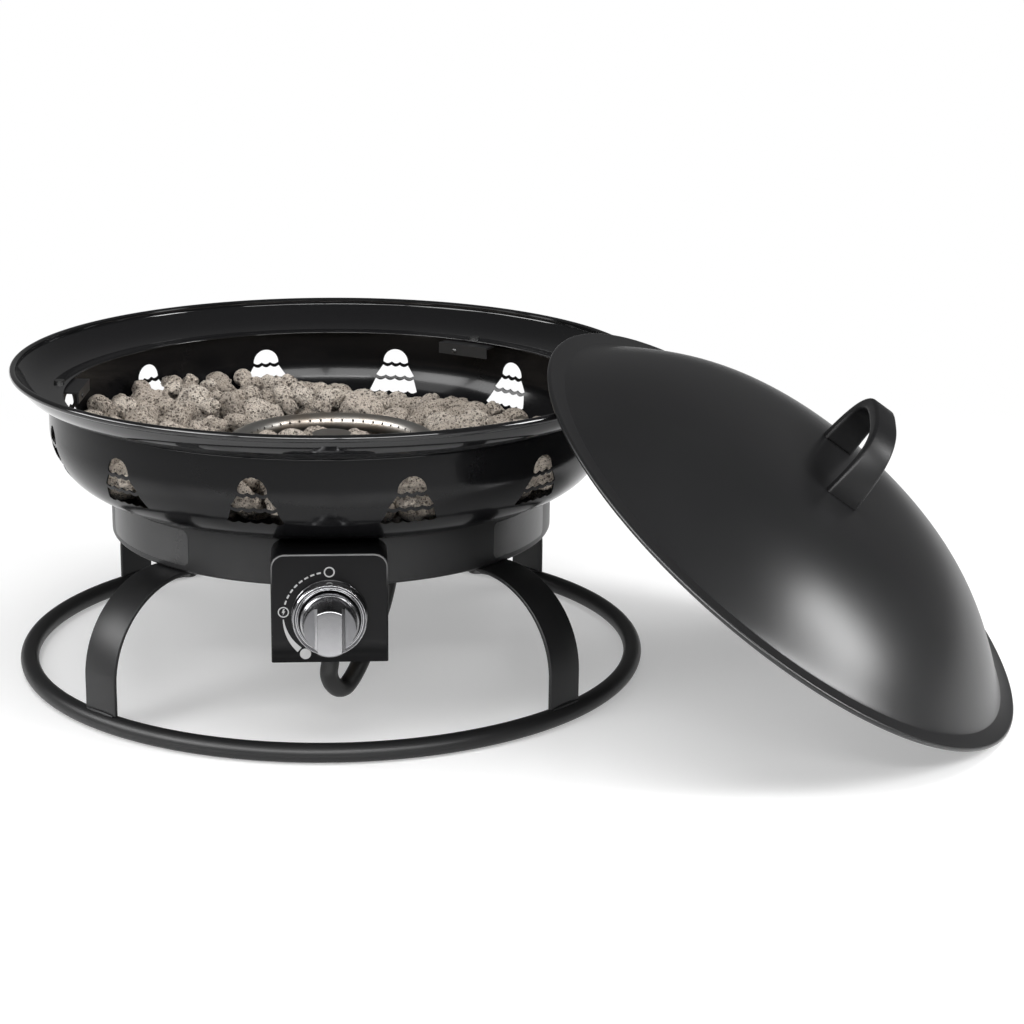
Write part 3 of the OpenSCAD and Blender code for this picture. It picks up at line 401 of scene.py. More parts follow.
f = Finish("lava_rock")
at = f.place()
lump = f.node("ShaderNodeNewGeometry", out="Random Per Island")
grit = f.cloud(420.0, detail=8.0, rough=0.75, at=at)
pits = 1.0
for scale, low, high in BUBBLES:
    pits = pits * f.node("ShaderNodeTexVoronoi", Vector=at, Scale=scale).step(low, high)
tone = f.node("ShaderNodeValToRGB", settings={"stops": STONE_TONES}, Fac=lump * 0.5 + grit * 1.1 - 0.32)
# Inside the bubbles the colour is painted dark as shade.
f.set(Base_Color=f.mix(pits, PIT_SHADE_TONE, tone), Roughness=pits * -0.06 + 0.94,
      Normal=f.bump(pits * 0.6 + grit * 1.1, 0.003, 1.0))
rock = f.material
print("lava rock, sizes of bubble", len(BUBBLES))

# %% [markdown]
# ## The stand
# A round tube bent into a hoop lies on the floor. Four flat steel straps stand on it, curve inwards
# over a wide bend and end under the collar, each held by two bolts. A strap is swept: a small rounded
# rectangle is carried along the strap's own curve, which keeps its width flat and its edges soft.

# %% Floor ring
RING_R, RING_TUBE = mm(235.5, 7)
ring = lathe("floor_ring", arc(RING_R, RING_TUBE, RING_TUBE, 0, 360, 32)[:-1], spin=224, smooth_angle=60)
adopt(ring, satin_black, "satin_black", "base_ring")
print("floor ring across", round(2 * (RING_R + RING_TUBE), 4))


# %% Sweeping a section along a plane curve
def rounded_bar(width, thick, r, steps=3):
    """Outline of a rounded rectangle as (across, through) points."""
    w, t = width / 2, thick / 2
    r = min(r, 0.98 * t, 0.98 * w)
    out = []
    for cx, cy, start in ((w - r, t - r, 0), (-w + r, t - r, 90), (-w + r, -t + r, 180), (w - r, -t + r, 270)):
        out += arc(cx, cy, r, start, start + 90, steps)
    return out


def sweep(bm, path, across, section, scale=None):
    """Carries a section of (across, through) points along a curve that lies in one plane.
    across is the plane's normal. scale gives the section's width at each point of the path."""
    rows = []
    for i, p in enumerate(path):
        ahead = path[min(i + 1, len(path) - 1)] - path[max(i - 1, 0)]
        through = ahead.normalized().cross(across).normalized()
        k = scale[i] if scale else 1.0
        rows.append([bm.verts.new(p + across * (u * k) + through * v) for u, v in section])
    skin(bm, rows, ends=True)


print("points in a swept section", len(rounded_bar(2.0, 1.0, 0.2)))

# %% Strap legs
LEG_W, LEG_T, LEG_BEND, LEG_ROUND, LEG_TIP, WELD_GAP = mm(32, 3, 70, 0.9, 10, 0.25)
COLLAR_R, COLLAR_Z, COLLAR_TOP = mm(169, 107, 143)
LEG_END = COLLAR_R - 22 * MM
LEG_NAMES = ["leg_front_left", "leg_front_right", "leg_rear_right", "leg_rear_left"]
LEG_AZ = [radians(-135 + 90 * i) for i in range(4)]


def tangent(azimuth):
    """The direction across a radial plane."""
    return Vector((-sin(azimuth), cos(azimuth), 0))


def leg_path():
    """The middle line of a strap, in its own radial plane as (r, z), from its foot to its bolted end."""
    foot, bend_z, top = 2 * RING_TUBE + WELD_GAP, COLLAR_Z - LEG_BEND, COLLAR_Z - LEG_T / 2
    bend_r = LEG_BEND - LEG_T / 2
    bend = arc(RING_R - bend_r, bend_z, bend_r, 0, 90, 28)
    return [(RING_R, foot), (RING_R, (foot + bend_z) / 2)] + bend + [(LEG_END + LEG_TIP, top), (LEG_END, top)]


for name, az in zip(LEG_NAMES, LEG_AZ):
    bm = bmesh.new()
    sweep(bm, [radial(r, z, az) for r, z in leg_path()], tangent(az), rounded_bar(LEG_W, LEG_T, LEG_ROUND))
    adopt(new_object(name + "_strap", bm), satin_black, "satin_black", name)
print("strap legs", len(LEG_NAMES))

# %% [markdown]
# Each foot is welded to the ring. The weld is a short bead along both faces of the strap, under the paint.
# It is a thin tube whose radius rises and falls a little, as a bead laid by hand does.

# %% Weld beads
BEAD_R, BEAD_IN, BEAD_OFF, BEAD_Z = mm(1.5, 2, 0.3, 0.2)
BEAD_LUMPS = 0.12


def bead(bm, start, end, seed, sides=8, steps=16):
    """A lumpy closed tube between two points."""
    axis = (end - start).normalized()
    side = axis.orthogonal().normalized()
    other = axis.cross(side)
    rows = []
    for i in range(steps + 1):
        u = i / steps
        p = start.lerp(end, u)
        taper = sin(pi * min(max(u, 0.04), 0.96)) ** 0.35
        q = BEAD_R * taper * (1 + BEAD_LUMPS * sin(u * 38 + seed) + BEAD_LUMPS * noise.noise(p * 400))
        rows.append([bm.verts.new(p + side * s + other * t) for s, t in arc(0, 0, q, 0, 360, sides)[:-1]])
    skin(bm, rows, ends=True)


bm = bmesh.new()
for i, az in enumerate(LEG_AZ):
    half = tangent(az) * (LEG_W / 2 - BEAD_IN)
    for r_off in (-LEG_T / 2 - BEAD_OFF, LEG_T / 2 + BEAD_OFF):
        mid = radial(RING_R + r_off, 2 * RING_TUBE + BEAD_Z, az)
        bead(bm, mid - half, mid + half, i)
adopt(new_object("foot_welds", bm, 60), satin_black, "satin_black")
print("weld beads", 2 * len(LEG_AZ))

# %% [markdown]
# ## The bowl, its rim and the collar
# The bowl is a deep spun pan with twelve pine-tree vents stamped through its wall. Each tree is three
# tiers with scalloped lower edges, and narrow bars are left between the tiers. A modifier cuts the
# stamped shapes out of the turned pan, because the scallops are easier to draw flat than to mesh round.

# %% Sheets, and cutting shapes out of them
def sheet_outline(outer, thick):
    """Closes an open line of (r, z) points into a sheet, with its thickness to the right of the line."""
    inner = []
    for i, p in enumerate(outer):
        a, b = Vector(outer[max(i - 1, 0)]), Vector(outer[min(i + 1, len(outer) - 1)])
        d = (b - a).normalized()
        inner.append((p[0] - d.y * thick, p[1] + d.x * thick))
    return outer + inner[::-1]


def prism(bm, *outlines):
    """A closed solid between two outlines with the same number of points."""
    skin(bm, [[bm.verts.new(p) for p in outline] for outline in outlines], ends=True)


def apply_modifiers(obj):
    """Replaces an object's mesh with the one its modifiers give."""
    bpy.context.view_layer.update()
    made = bpy.data.meshes.new_from_object(obj.evaluated_get(bpy.context.evaluated_depsgraph_get()))
    obj.modifiers.clear()
    obj.data = made


def carve(obj, bm):
    """Cuts the closed solids in bm out of a piece."""
    cutter = new_object("cutter", bm)
    cut = obj.modifiers.new("cut", "BOOLEAN")
    cut.object, cut.operation, cut.solver = cutter, "DIFFERENCE", "EXACT"
    apply_modifiers(obj)
    bpy.data.objects.remove(cutter)


def shade(obj, sharp_from):
    """Shades a piece smooth, except at edges sharper than an angle in degrees."""
    obj.data.shade_smooth()
    obj.data.set_sharp_from_angle(angle=radians(sharp_from))


print("sheet and cutting helpers ready")

# %% Bowl pan
BOWL_R, BOWL_TOP, BOWL_BASE, BOWL_T, BOWL_BEND, PAN_CORNER = mm(213.4, 213, 143, 1.0, 48, 1.5)
FLANGE_IN, WALL_TOP = mm(205.4, 202)


def pan_side(inset, corner):
    """One side of the pan's sheet: out over its floor, up the wall, and in along the flange."""
    return ([(r, BOWL_BASE + inset) for r in mm(0, 60, 120)]
            + arc(BOWL_R - BOWL_BEND, BOWL_BASE + BOWL_BEND, BOWL_BEND - inset, -90, 0, 26)
            + [(BOWL_R - inset, WALL_TOP)] + corner + [(FLANGE_IN, BOWL_TOP - inset)])


outside = pan_side(0.0, arc(BOWL_R - PAN_CORNER, BOWL_TOP - PAN_CORNER, PAN_CORNER, 0, 90, 5))
inside = pan_side(BOWL_T, [(BOWL_R - BOWL_T, BOWL_TOP - BOWL_T)])
pan = lathe("bowl_pan", outside + inside[::-1], spin=240)
print("pan faces before the vents are cut", len(pan.data.polygons))

# %% Pine-tree vents
VENT_COUNT, VENT_Z, VENT_BAR, VENT_SCALLOP = 12, 162.5, 2.6, 1.5
TIER_H, TIER_W, TIER_LOBES = (9.5, 8.5, 12.5), (41, 33, 21.5), (5, 4, 3)
CUT_FROM, CUT_TO = mm(168, 222)


def scallops(width, lobes, z, steps=6):
    """The hanging lower edge of a tier, from left to right."""
    n = lobes * steps
    return [(width * (j / n - 0.5), z - VENT_SCALLOP * abs(sin(pi * j / steps))) for j in range(n + 1)]


def tree_tiers():
    """The three stamped outlines of one vent, as (across, height) points in millimetres."""
    z = [VENT_Z + VENT_SCALLOP]
    for h in TIER_H[:2]:
        z.append(z[-1] + h + VENT_BAR)
    tiers = []
    for i in range(3):
        if i < 2:
            top = scallops(TIER_W[i + 1], TIER_LOBES[i + 1], z[i + 1] - VENT_BAR)[::-1]
        else:
            top = [(TIER_W[2] / 2 * cos(a), z[2] + (TIER_H[2] - VENT_SCALLOP) * sin(a))
                   for a in (pi * j / 16 for j in range(1, 16))]
        tiers.append(scallops(TIER_W[i], TIER_LOBES[i], z[i]) + top)
    return tiers


bm = bmesh.new()
for i in range(VENT_COUNT):
    az = 2 * pi * (i + 0.5) / VENT_COUNT
    for tier in tree_tiers():
        prism(bm, *([radial(r, z * MM, az) + tangent(az) * (u * MM) for u, z in tier] for r in (CUT_FROM, CUT_TO)))
carve(pan, bm)
shade(pan, 35)
adopt(pan, gloss_black, "gloss_black", "bowl_body")
print("bowl pan", len(pan.data.polygons), "faces after the vents are cut")

# %% [markdown]
# The rim is a separate flared ring. It sits on the bowl's top on a narrow flat ledge, sweeps outwards in a
# shallow hollow curve and ends in a rolled bead, where the gloss paint draws one bright line.

# %% Flared rim
LEDGE_IN, LEDGE_Z, LEDGE_FLAT, FLARE_FOOT, FLARE_T = mm(202, 214, 5, 214.6, 1.0)
LIP_R, LIP_C = 2.6 * MM, mm(238.9, 233.6)
FLARE_SAG, EDGE_ROUND = 0.16, 0.45
ROLL_FROM, ROLL_TO = 148, -128


def flare_line(steps=28):
    """The flare's upper side from its foot to the middle of the rolled lip."""
    out = []
    for j in range(steps + 1):
        u = j / steps
        rise = LIP_C[1] - LEDGE_Z
        bow = FLARE_SAG * rise * sin(pi * u)
        out.append((FLARE_FOOT + (LIP_C[0] - FLARE_FOOT) * u + bow / 2, LEDGE_Z + rise * u - bow))
    return out


upper = [(LEDGE_IN, LEDGE_Z), (LEDGE_IN + LEDGE_FLAT, LEDGE_Z)] + flare_line()[:-2]
lower = [(r, z - FLARE_T) for r, z in upper][::-1]
rim_outline = upper + arc(*LIP_C, LIP_R, ROLL_FROM, ROLL_TO, 26) + lower
rim_outline = fillet(rim_outline, [EDGE_ROUND] + [0] * (len(rim_outline) - 2) + [EDGE_ROUND], 3)
adopt(lathe("flared_rim", rim_outline, spin=256, smooth_angle=50), rim_gloss, "gloss_black", "rim_flare")
print("rim outside radius", round(max(r for r, z in rim_outline), 4))

# %% Collar
COLLAR_IN, COLLAR_T, COLLAR_CLEAR = mm(145, 1.2, 0.05)
COLLAR_FOLD = 2.2
top = COLLAR_TOP - COLLAR_CLEAR
folds = [(COLLAR_IN, COLLAR_Z), (COLLAR_R, COLLAR_Z), (COLLAR_R, top), (COLLAR_IN, top)]
folds = fillet(folds, (0, COLLAR_FOLD, COLLAR_FOLD, 0), 6)
collar = lathe("collar_band", sheet_outline(folds, COLLAR_T), spin=224)
adopt(collar, satin_black, "satin_black", "collar_band", "collar_top_ring", "collar_base_ring")
print("collar across", round(2 * COLLAR_R, 4))

# %% [markdown]
# ## The control box
# The panel is one folded sheet: a flat front with rounded top corners, bent back along its top and sides,
# and open behind and below. What makes it read as folded metal is the thin bright line along each bend,
# so the front is drawn a little smaller than the box and an arc joins it to the sides.

# %% Folded panel
BOX_X, BOX_W, BOX_FRONT, BOX_Z, BOX_TOP = mm(-2.6, 82, 205, 63.2, 142.5)
BOX_CORNER, BOX_T, BOX_BEND, BOX_GAP = mm(10, 1.2, 1.8, 0.3)


def panel_outline(inset, corner_steps=10):
    """The box from the front, open at the bottom: up one side, over the top and down the other."""
    w, r = BOX_W / 2 - inset, BOX_CORNER - inset
    top = BOX_TOP - inset
    left = arc(-w + r, top - r, r, 180, 90, corner_steps)
    right = arc(w - r, top - r, r, 90, 0, corner_steps)
    side = [BOX_Z + (top - r - BOX_Z) * k / 4 for k in range(4)]
    return [(-w, z) for z in side] + left + right + [(w, z) for z in side[::-1]]


def collar_front(x):
    """Where the box's edge meets the collar, as a distance in front of the axis."""
    return sqrt((COLLAR_R + BOX_GAP) ** 2 - x * x)


bm = bmesh.new()
flat, bends = BOX_FRONT - BOX_BEND, 5
rows = []
for k in range(bends + 1):
    c, s = polar(BOX_BEND, pi / 2 * k / bends)
    rows.append([bm.verts.new((BOX_X + u, -(flat + c), z)) for u, z in panel_outline(BOX_BEND - s)])
for share in (0.5, 1.0):
    rows.append([bm.verts.new((BOX_X + u, -(flat + (collar_front(BOX_X + u) - flat) * share), z))
                 for u, z in panel_outline(0)])
skin(bm, rows, closed=False)
bm.faces.new(rows[0])
panel = new_object("control_panel", bm, 40)
thick = panel.modifiers.new("sheet", "SOLIDIFY")
thick.thickness, thick.offset, thick.use_even_offset = BOX_T, -1.0, True
apply_modifiers(panel)
adopt(panel, panel_black, "satin_black", "control_box")
print("control box front is", round(BOX_W, 4), "wide")

# %% [markdown]
# The print on the panel is generic: an open circle for off, a dashed arc to a spark in a circle, and an arc
# that grows to a filled dot for the largest flame. Each mark is a thin raised film, as screen print is.

# %% Panel print
KNOB = Vector((BOX_X, -BOX_FRONT, 97 * MM))
MARK_R, FILM, CIRCLE_R, OFF_IN, SPARK_IN, DOT_R = mm(32.4, 0.12, 3.8, 2.9, 3.1, 3.9)
OFF_AT, SPARK_AT, DOT_AT = 90, 174, 238
DASHES, DASH_FROM, DASH_EVERY, DASH_LONG, DASH_WIDE = 8, 100.5, 8.3, 5.2, 1.15
GROW_FROM, GROW_TO, GROW_THIN, GROW_WIDE = 183.5, 229, 0.7, 4.3
BOLT = ((-0.2, 2.3), (1.0, 2.3), (0.35, 0.7), (1.3, 0.7), (-0.5, -2.4), (-0.1, -0.5), (-1.1, -0.5))


def film(bm, points):
    """A thin plate on the panel's front from (across, up) points about the knob's axis."""
    prism(bm, *([(KNOB.x + u, KNOB.y - d, KNOB.z + v) for u, v in points] for d in (-FILM, FILM)))


def ring_film(bm, centre, r_out, r_in, steps=40):
    """An open circle."""
    for k in range(steps):
        a, b = (2 * pi * (k + s) / steps for s in (0, 1))
        film(bm, [polar(r, t, *centre) for r, t in ((r_in, a), (r_out, a), (r_out, b), (r_in, b))])


def arc_film(bm, start, end, width, end_width, steps):
    """A band along the mark circle, from one width to another in millimetres."""
    outer, inner = [], []
    for k in range(steps + 1):
        a = radians(start + (end - start) * k / steps)
        half = (width + (end_width - width) * k / steps) * MM / 2
        outer.append(polar(MARK_R + half, a))
        inner.append(polar(MARK_R - half, a))
    film(bm, outer + inner[::-1])


def on_marks(angle):
    """The place on the mark circle at an angle in degrees."""
    return polar(MARK_R, radians(angle))


bm = bmesh.new()
ring_film(bm, on_marks(OFF_AT), CIRCLE_R, OFF_IN)
for k in range(DASHES):
    start = DASH_FROM + DASH_EVERY * k
    arc_film(bm, start, start + DASH_LONG, DASH_WIDE, DASH_WIDE, 4)
spark = on_marks(SPARK_AT)
ring_film(bm, spark, DOT_R, SPARK_IN)
film(bm, [(spark[0] + u * MM, spark[1] + v * MM) for u, v in BOLT][::-1])
arc_film(bm, GROW_FROM, GROW_TO, GROW_THIN, GROW_WIDE, 20)
film(bm, arc(*on_marks(DOT_AT), DOT_R, 0, 360, 40)[:-1])
marks = new_object("panel_marks", bm, 20)
adopt(marks, panel_print, "ceramic")
print("panel marks", len(marks.data.polygons), "faces")

# %% [markdown]
# ## The knob
# The knob is a moulded cone with a plated skin, hollow behind so that it can be pushed in over the valve's
# neck. It widens to a rim near the panel, and two deep finger recesses, with rougher floors painted darker
# as shade, leave a grip bar across it. It is turned first, then the recesses are cut and every edge is
# rounded, because plated edges glint on a small radius. Round it stands a plated ring with two bright steps
# and a groove between them.

# %% Knob
KNOB_LINE = ((0, 18), (4.05, 18), (4.05, 8.5), (13, 8.5), (13, 3.6), (20.6, 3.6), (20.6, 15.2), (19.1, 16),
             (16.8, 39.2))
KNOB_ROUNDS = (0, 0, 0, 0, 0.3, 0.5, 1.0, 0.8, 1.3, 0)
KNOB_END, KNOB_TOP, KNOB_CROWN, KNOB_FLOOR, KNOB_BAR = mm(16.8, 39.8, 0.45, 28, 16.4)
CUT_HALF, CUT_TOP, CUT_SLOPE, CUT_CHAMFER, CUT_FALL = mm(30, 46, 2.5, 2.4, 1)
EDGE_WIDTH = 0.55 * MM


def on_knob_axis(obj):
    """Turns a piece made about +Z, with z zero at the panel, to stand out of the panel."""
    obj.data.transform(Matrix.Translation(KNOB) @ Matrix.Rotation(radians(90), 4, "X"))


knob_line = [mm(*p) for p in KNOB_LINE]
knob_line += [(KNOB_END * s, KNOB_TOP - KNOB_CROWN * s ** 2) for s in (1 - k / 8 for k in range(1, 9))]
knob = lathe("grip_knob", fillet(knob_line, KNOB_ROUNDS, 4), spin=128)
bm = bmesh.new()
for side in (-1, 1):
    wall, far, slope = side * KNOB_BAR / 2, side * CUT_HALF, side * CUT_SLOPE
    shape = [(wall + slope, KNOB_FLOOR), (far, KNOB_FLOOR - CUT_FALL), (far, CUT_TOP), (wall, CUT_TOP),
             (wall + 0.1 * slope, KNOB_FLOOR + CUT_CHAMFER)]
    prism(bm, *([(u, y, z) for u, z in shape] for y in (-CUT_HALF, CUT_HALF)))
carve(knob, bm)
soft = knob.modifiers.new("edges", "BEVEL")
soft.width, soft.segments, soft.limit_method, soft.angle_limit = EDGE_WIDTH, 3, "ANGLE", radians(38)
apply_modifiers(knob)
shade(knob, 48)
on_knob_axis(knob)
adopt(knob, chrome, "knob_chrome", "control_knob", body="knob")
print("knob", len(knob.data.polygons), "faces")

# %% Knob ring
RING_LINE = ((21.6, 0), (27, 0), (27, 1.2), (26.5, 1.8), (26.4, 8.4), (25.4, 10), (24.7, 9.7), (24.1, 8.4),
             (23.1, 8.4), (22.5, 9.4), (21.6, 9))
RING_ROUNDS = (0, 0, 0.3, 0.2, 0.6, 0.6, 0.3, 0.5, 0.4, 0.4, 0.3)
bezel = lathe("knob_ring", fillet([mm(*p) for p in RING_LINE], RING_ROUNDS, 3), spin=144, smooth_angle=50)
on_knob_axis(bezel)
adopt(bezel, ring_chrome, "knob_chrome", "knob_bezel")
print("knob ring across", round(bezel.dimensions.x, 4))

# %% [markdown]
# ## The lid
# The lid is a spun dome whose side runs out into a flat flange with a rolled edge. It leans with that edge on
# the floor and the inner side of its flange on the rim's bead. It is turned about its own axis, then laid in
# its place by one matrix, which the handle shares.

# %% Lid shell
LID_R, DOME_R, DOME_H, LID_T, LID_EDGE, SEAT_GAP = mm(216.5, 203, 66, 1.2, 2, 0.25)
FLANGE_TOP = 2 * LID_EDGE
LEAN_SHARE, LEAN_AZ = 0.858, radians(-20.8)
DOME_POWER, DOME_ROOT = 3.27, 1.147

# Worked out as the CAD does: the edge stands on the floor, and the dome's foot lies on the rim's bead.
seat_in, seat_z = DOME_R - LID_T, FLANGE_TOP - LID_T
up = LEAN_SHARE * seat_in
side = sqrt(seat_in ** 2 - up ** 2)
along, across = up + LID_R - LID_EDGE, LIP_R + SEAT_GAP + LID_EDGE - seat_z
LEAN = asin((LIP_C[1] - LID_EDGE) / hypot(along, across)) + atan(across / along)
centre_z = (LID_R - LID_EDGE) * sin(LEAN) - LID_EDGE * cos(LEAN) + LID_EDGE
seat_r = LIP_C[0] + LIP_R * sin(LEAN)
centre_r = sqrt(seat_r ** 2 - side ** 2) + up * cos(LEAN) - seat_z * sin(LEAN) + 2 * SEAT_GAP
LID_AT = radial(centre_r, centre_z, LEAN_AZ)
ON_LID = Matrix.Translation(LID_AT) @ Matrix.Rotation(LEAN_AZ, 4, "Z") @ Matrix.Rotation(LEAN, 4, "Y")


def dome_z(r, radius=DOME_R, foot=FLANGE_TOP, height=DOME_H):
    """Height of the dome's outside over the lid's lower edge."""
    u = min(r / radius, 1.0)
    return foot + (height - foot) * (1 - u ** DOME_POWER) ** DOME_ROOT


def dome_line(inset, steps=84):
    """The dome from its foot to its top, set in by a thickness."""
    radii = [(DOME_R - inset) * cos(pi / 2 * j / steps) for j in range(steps + 1)]
    return [(r, dome_z(r, DOME_R - inset, FLANGE_TOP - inset, DOME_H - inset)) for r in radii]


edge_roll = arc(LID_R - LID_EDGE, LID_EDGE, LID_EDGE, -205, 90, 26)
lid_outline = edge_roll + dome_line(0.0) + dome_line(LID_T)[::-1]
lid = lathe("lid_dome", lid_outline, spin=256, smooth_angle=40)
lid.data.transform(ON_LID)
adopt(lid, lid_black, "lid_black", "lid_shell", body="lid")
print("lid centre", [round(x, 4) for x in LID_AT], "lean", round(degrees(LEAN), 2))

# %% [markdown]
# The handle is one moulded loop, wide at its feet and narrower on top, with generously rounded edges. Its
# feet follow the dome. The loop is a swept rounded bar whose width changes along it, and each end is
# pressed down onto the dome's own surface, so no gap opens under it.

# %% Lid handle
HANDLE_AZ = radians(104)
HANDLE_L, HANDLE_TALL, HANDLE_W, HANDLE_TOP_W, HANDLE_T, FOOT_SINK = mm(110, 52.8, 26, 18, 10, 4)
HANDLE_POWER, HANDLE_ROUND = 0.66, 3.0 * MM
FOOT_Z = dome_z(HANDLE_L / 2 - HANDLE_T / 2)
LOOP_H = DOME_H + HANDLE_TALL - FOOT_Z


def loop_point(a):
    """A point of the loop's middle line as (along, up), for an angle from 0 to pi."""
    c, s = cos(a), sin(a)
    along = (HANDLE_L - HANDLE_T) / 2 * copysign(abs(c) ** HANDLE_POWER, c)
    return along, FOOT_Z + (LOOP_H - HANDLE_T / 2) * max(s, 0.0) ** HANDLE_POWER


def even_path(points, count):
    """The same curve with its points evenly spaced."""
    lengths = [0.0]
    for a, b in zip(points, points[1:]):
        lengths.append(lengths[-1] + (b - a).length)
    out, j = [], 0
    for k in range(count + 1):
        goal = lengths[-1] * k / count
        while j < len(points) - 2 and lengths[j + 1] < goal:
            j += 1
        span = lengths[j + 1] - lengths[j]
        out.append(points[j].lerp(points[j + 1], (goal - lengths[j]) / span if span else 0.0))
    return out


raw = [Vector((u, 0, v)) for u, v in (loop_point(pi * k / 400) for k in range(401))]
raw = [raw[0] - Vector((0, 0, FOOT_SINK))] + raw + [raw[-1] - Vector((0, 0, FOOT_SINK))]
loop = even_path(raw, 120)
widths = [1 - (1 - HANDLE_TOP_W / HANDLE_W) * max(0.0, min(1.0, (p.z - FOOT_Z) / LOOP_H)) for p in loop]
bm = bmesh.new()
sweep(bm, loop, Vector((0, 1, 0)), rounded_bar(HANDLE_W, HANDLE_T, HANDLE_ROUND, 6), widths)
for v in bm.verts:
    v.co.z = max(v.co.z, dome_z(hypot(v.co.x, v.co.y)) + SEAT_GAP)
handle = new_object("handle_loop", bm, 50)
handle.data.transform(ON_LID @ Matrix.Rotation(HANDLE_AZ, 4, "Z"))
adopt(handle, handle_black, "black_plastic", "handle_grip", body="lid")
print("handle loop stands", round(LOOP_H, 4), "over its feet")

# %% [markdown]
# ## Lava rocks
# About two layers of lava rock fill the bowl round the burner. Each lump is a stone with a few broken faces,
# bent by broad noise and pitted by cells cut into its mesh, so it looks porous at its outline too. The lumps
# are dropped one by one: each falls at a chosen spot until it meets the bowl or the lumps already there. A
# fixed seed gives the same heap every time.

# %% Dropping the lumps
PAN_IN_Z, PAN_IN_BEND = BOWL_BASE + BOWL_T, BOWL_BEND - BOWL_T
BEND_R, BEND_Z = BOWL_R - BOWL_BEND, BOWL_BASE + BOWL_BEND
BURNER_R, BURNER_TUBE, HUB_R, SPOKE_R, IGNITER_R, IGNITER_X, IGNITER_Y = mm(75, 7, 21, 6.5, 6, -15.6, -88.6)
HEAP_R, HEAP_TOP, HEAP_RISE, HEAP_DIP = mm(203, 172, 18, 19)
NEST, TRIES = 0.76, 6
PASSES = ((15.5, 22.0, 330), (12.5, 17.5, 700), (8.5, 13.0, 1400))
rng = random.Random(7)


def rest_height(x, y, r, placed):
    """How high the centre of a lump of radius r comes to rest over a spot, or None where it may not lie."""
    d = hypot(x, y)
    if d > BEND_R:
        if PAN_IN_BEND - r <= d - BEND_R:
            return None
        z = BEND_Z - sqrt((PAN_IN_BEND - r) ** 2 - (d - BEND_R) ** 2)
    else:
        z = PAN_IN_Z + r
    on_spoke = abs(y) < SPOKE_R + r * 0.9 and abs(x) < BURNER_R
    if abs(d - BURNER_R) < BURNER_TUBE + r * 0.92 or d < HUB_R + r or on_spoke:
        return None
    if hypot(x - IGNITER_X, y - IGNITER_Y) < IGNITER_R + r:
        return None
    for px, py, pz, pr in placed:
        gap = NEST * (r + pr)
        flat = (x - px) ** 2 + (y - py) ** 2
        if flat < gap * gap:
            z = max(z, pz + sqrt(gap * gap - flat))
    return z


def heap_top(x, y):
    """How high the heap may rise over a spot: low inside the burner and at the back right, where vents show."""
    outside = max(0.0, min(1.0, (hypot(x, y) - 0.07) / 0.04))
    back = max(0.0, min(1.0, (x * 0.71 + y * 0.71 - 0.06) / 0.1))
    return HEAP_TOP + HEAP_RISE * outside - HEAP_DIP * back


lumps = []
for size_low, size_high, count in PASSES:
    for _ in range(count):
        best = None
        r = rng.uniform(size_low, size_high) * MM
        for _ in range(TRIES):
            a, d = rng.uniform(0, 2 * pi), sqrt(rng.uniform(0.03, 1.0)) * HEAP_R
            x, y = polar(d, a)
            z = rest_height(x, y, r, lumps)
            if z is not None and z + r * 0.8 < heap_top(x, y) and (best is None or z < best[2]):
                best = (x, y, z, r)
        if best:
            lumps.append(best)
print("lumps", len(lumps), "highest", round(max(z + r for x, y, z, r in lumps), 4))

# %% Shaping the lumps
STONES, BREAKS, CORNER_POWER, REACH = 14, 9, 26, 1.03
LUMPS = ((2.2, 0.15), (5.2, 0.12), (11.0, 0.06))
PITS = ((4.6, 0.34, -0.15), (9.5, 0.36, -0.1))


def stone_shape(seed):
    """The points and faces of one broken, pitted stone of radius 1."""
    bm = bmesh.new()
    bmesh.ops.create_icosphere(bm, subdivisions=4, radius=1.0)
    pick = random.Random(seed)
    shift = Vector((seed * 7.3, seed * 3.1, seed * 1.7))
    squash = Vector((1.0, pick.uniform(0.74, 0.96), pick.uniform(0.66, 0.9)))
    breaks = [(Vector([pick.gauss(0, 1) for _ in range(3)]).normalized(), pick.uniform(0.52, 0.82))
              for _ in range(BREAKS)]
    for v in bm.verts:
        d = v.co.normalized()
        flat = sum((far / max(d.dot(side), 0.05)) ** -CORNER_POWER for side, far in breaks)
        broken = (1 + flat) ** (-1 / CORNER_POWER)
        lumpy = sum(noise.noise(d * scale + shift) * high for scale, high in LUMPS)
        pit = sum(deep * max(0.0, 1 - noise.voronoi(d * scale + shift)[0][0] / wide) ** 0.7
                  for scale, wide, deep in PITS)
        v.co = d * squash * min(REACH, 1.13 * broken + lumpy + pit)
    points = [tuple(v.co) for v in bm.verts]
    faces = [tuple(v.index for v in f.verts) for f in bm.faces]
    bm.free()
    return points, faces


SHAPES = [stone_shape(seed) for seed in range(STONES)]
all_points, all_faces = [], []
for i, (x, y, z, r) in enumerate(lumps):
    points, faces = SHAPES[i % STONES]
    turn = Matrix.Rotation(rng.uniform(0, 6.283), 3, "Z") @ Matrix.Rotation(rng.uniform(0, 6.283), 3, "X")
    base = len(all_points)
    all_points += [tuple(Vector((x, y, z)) + (turn @ Vector(p)) * r) for p in points]
    all_faces += [tuple(k + base for k in f) for f in faces]
mesh = bpy.data.meshes.new("lava_rocks")
mesh.from_pydata(all_points, [], all_faces)
mesh.shade_smooth()
adopt(put("lava_rocks", mesh), rock, "lava_rock", "rocks_wall", "rocks_outer", "rocks_inner")
print("rock mesh", len(all_faces), "faces")

# %% [markdown]
# ## Gas hose and igniter lead
# A black rubber hose leaves the valve downwards, swings round in a tight U under the panel and climbs to the
# burner's gas jet. The igniter's red lead runs from the ceramic to the valve. Both pass smoothly through
# the same points as the CAD's.

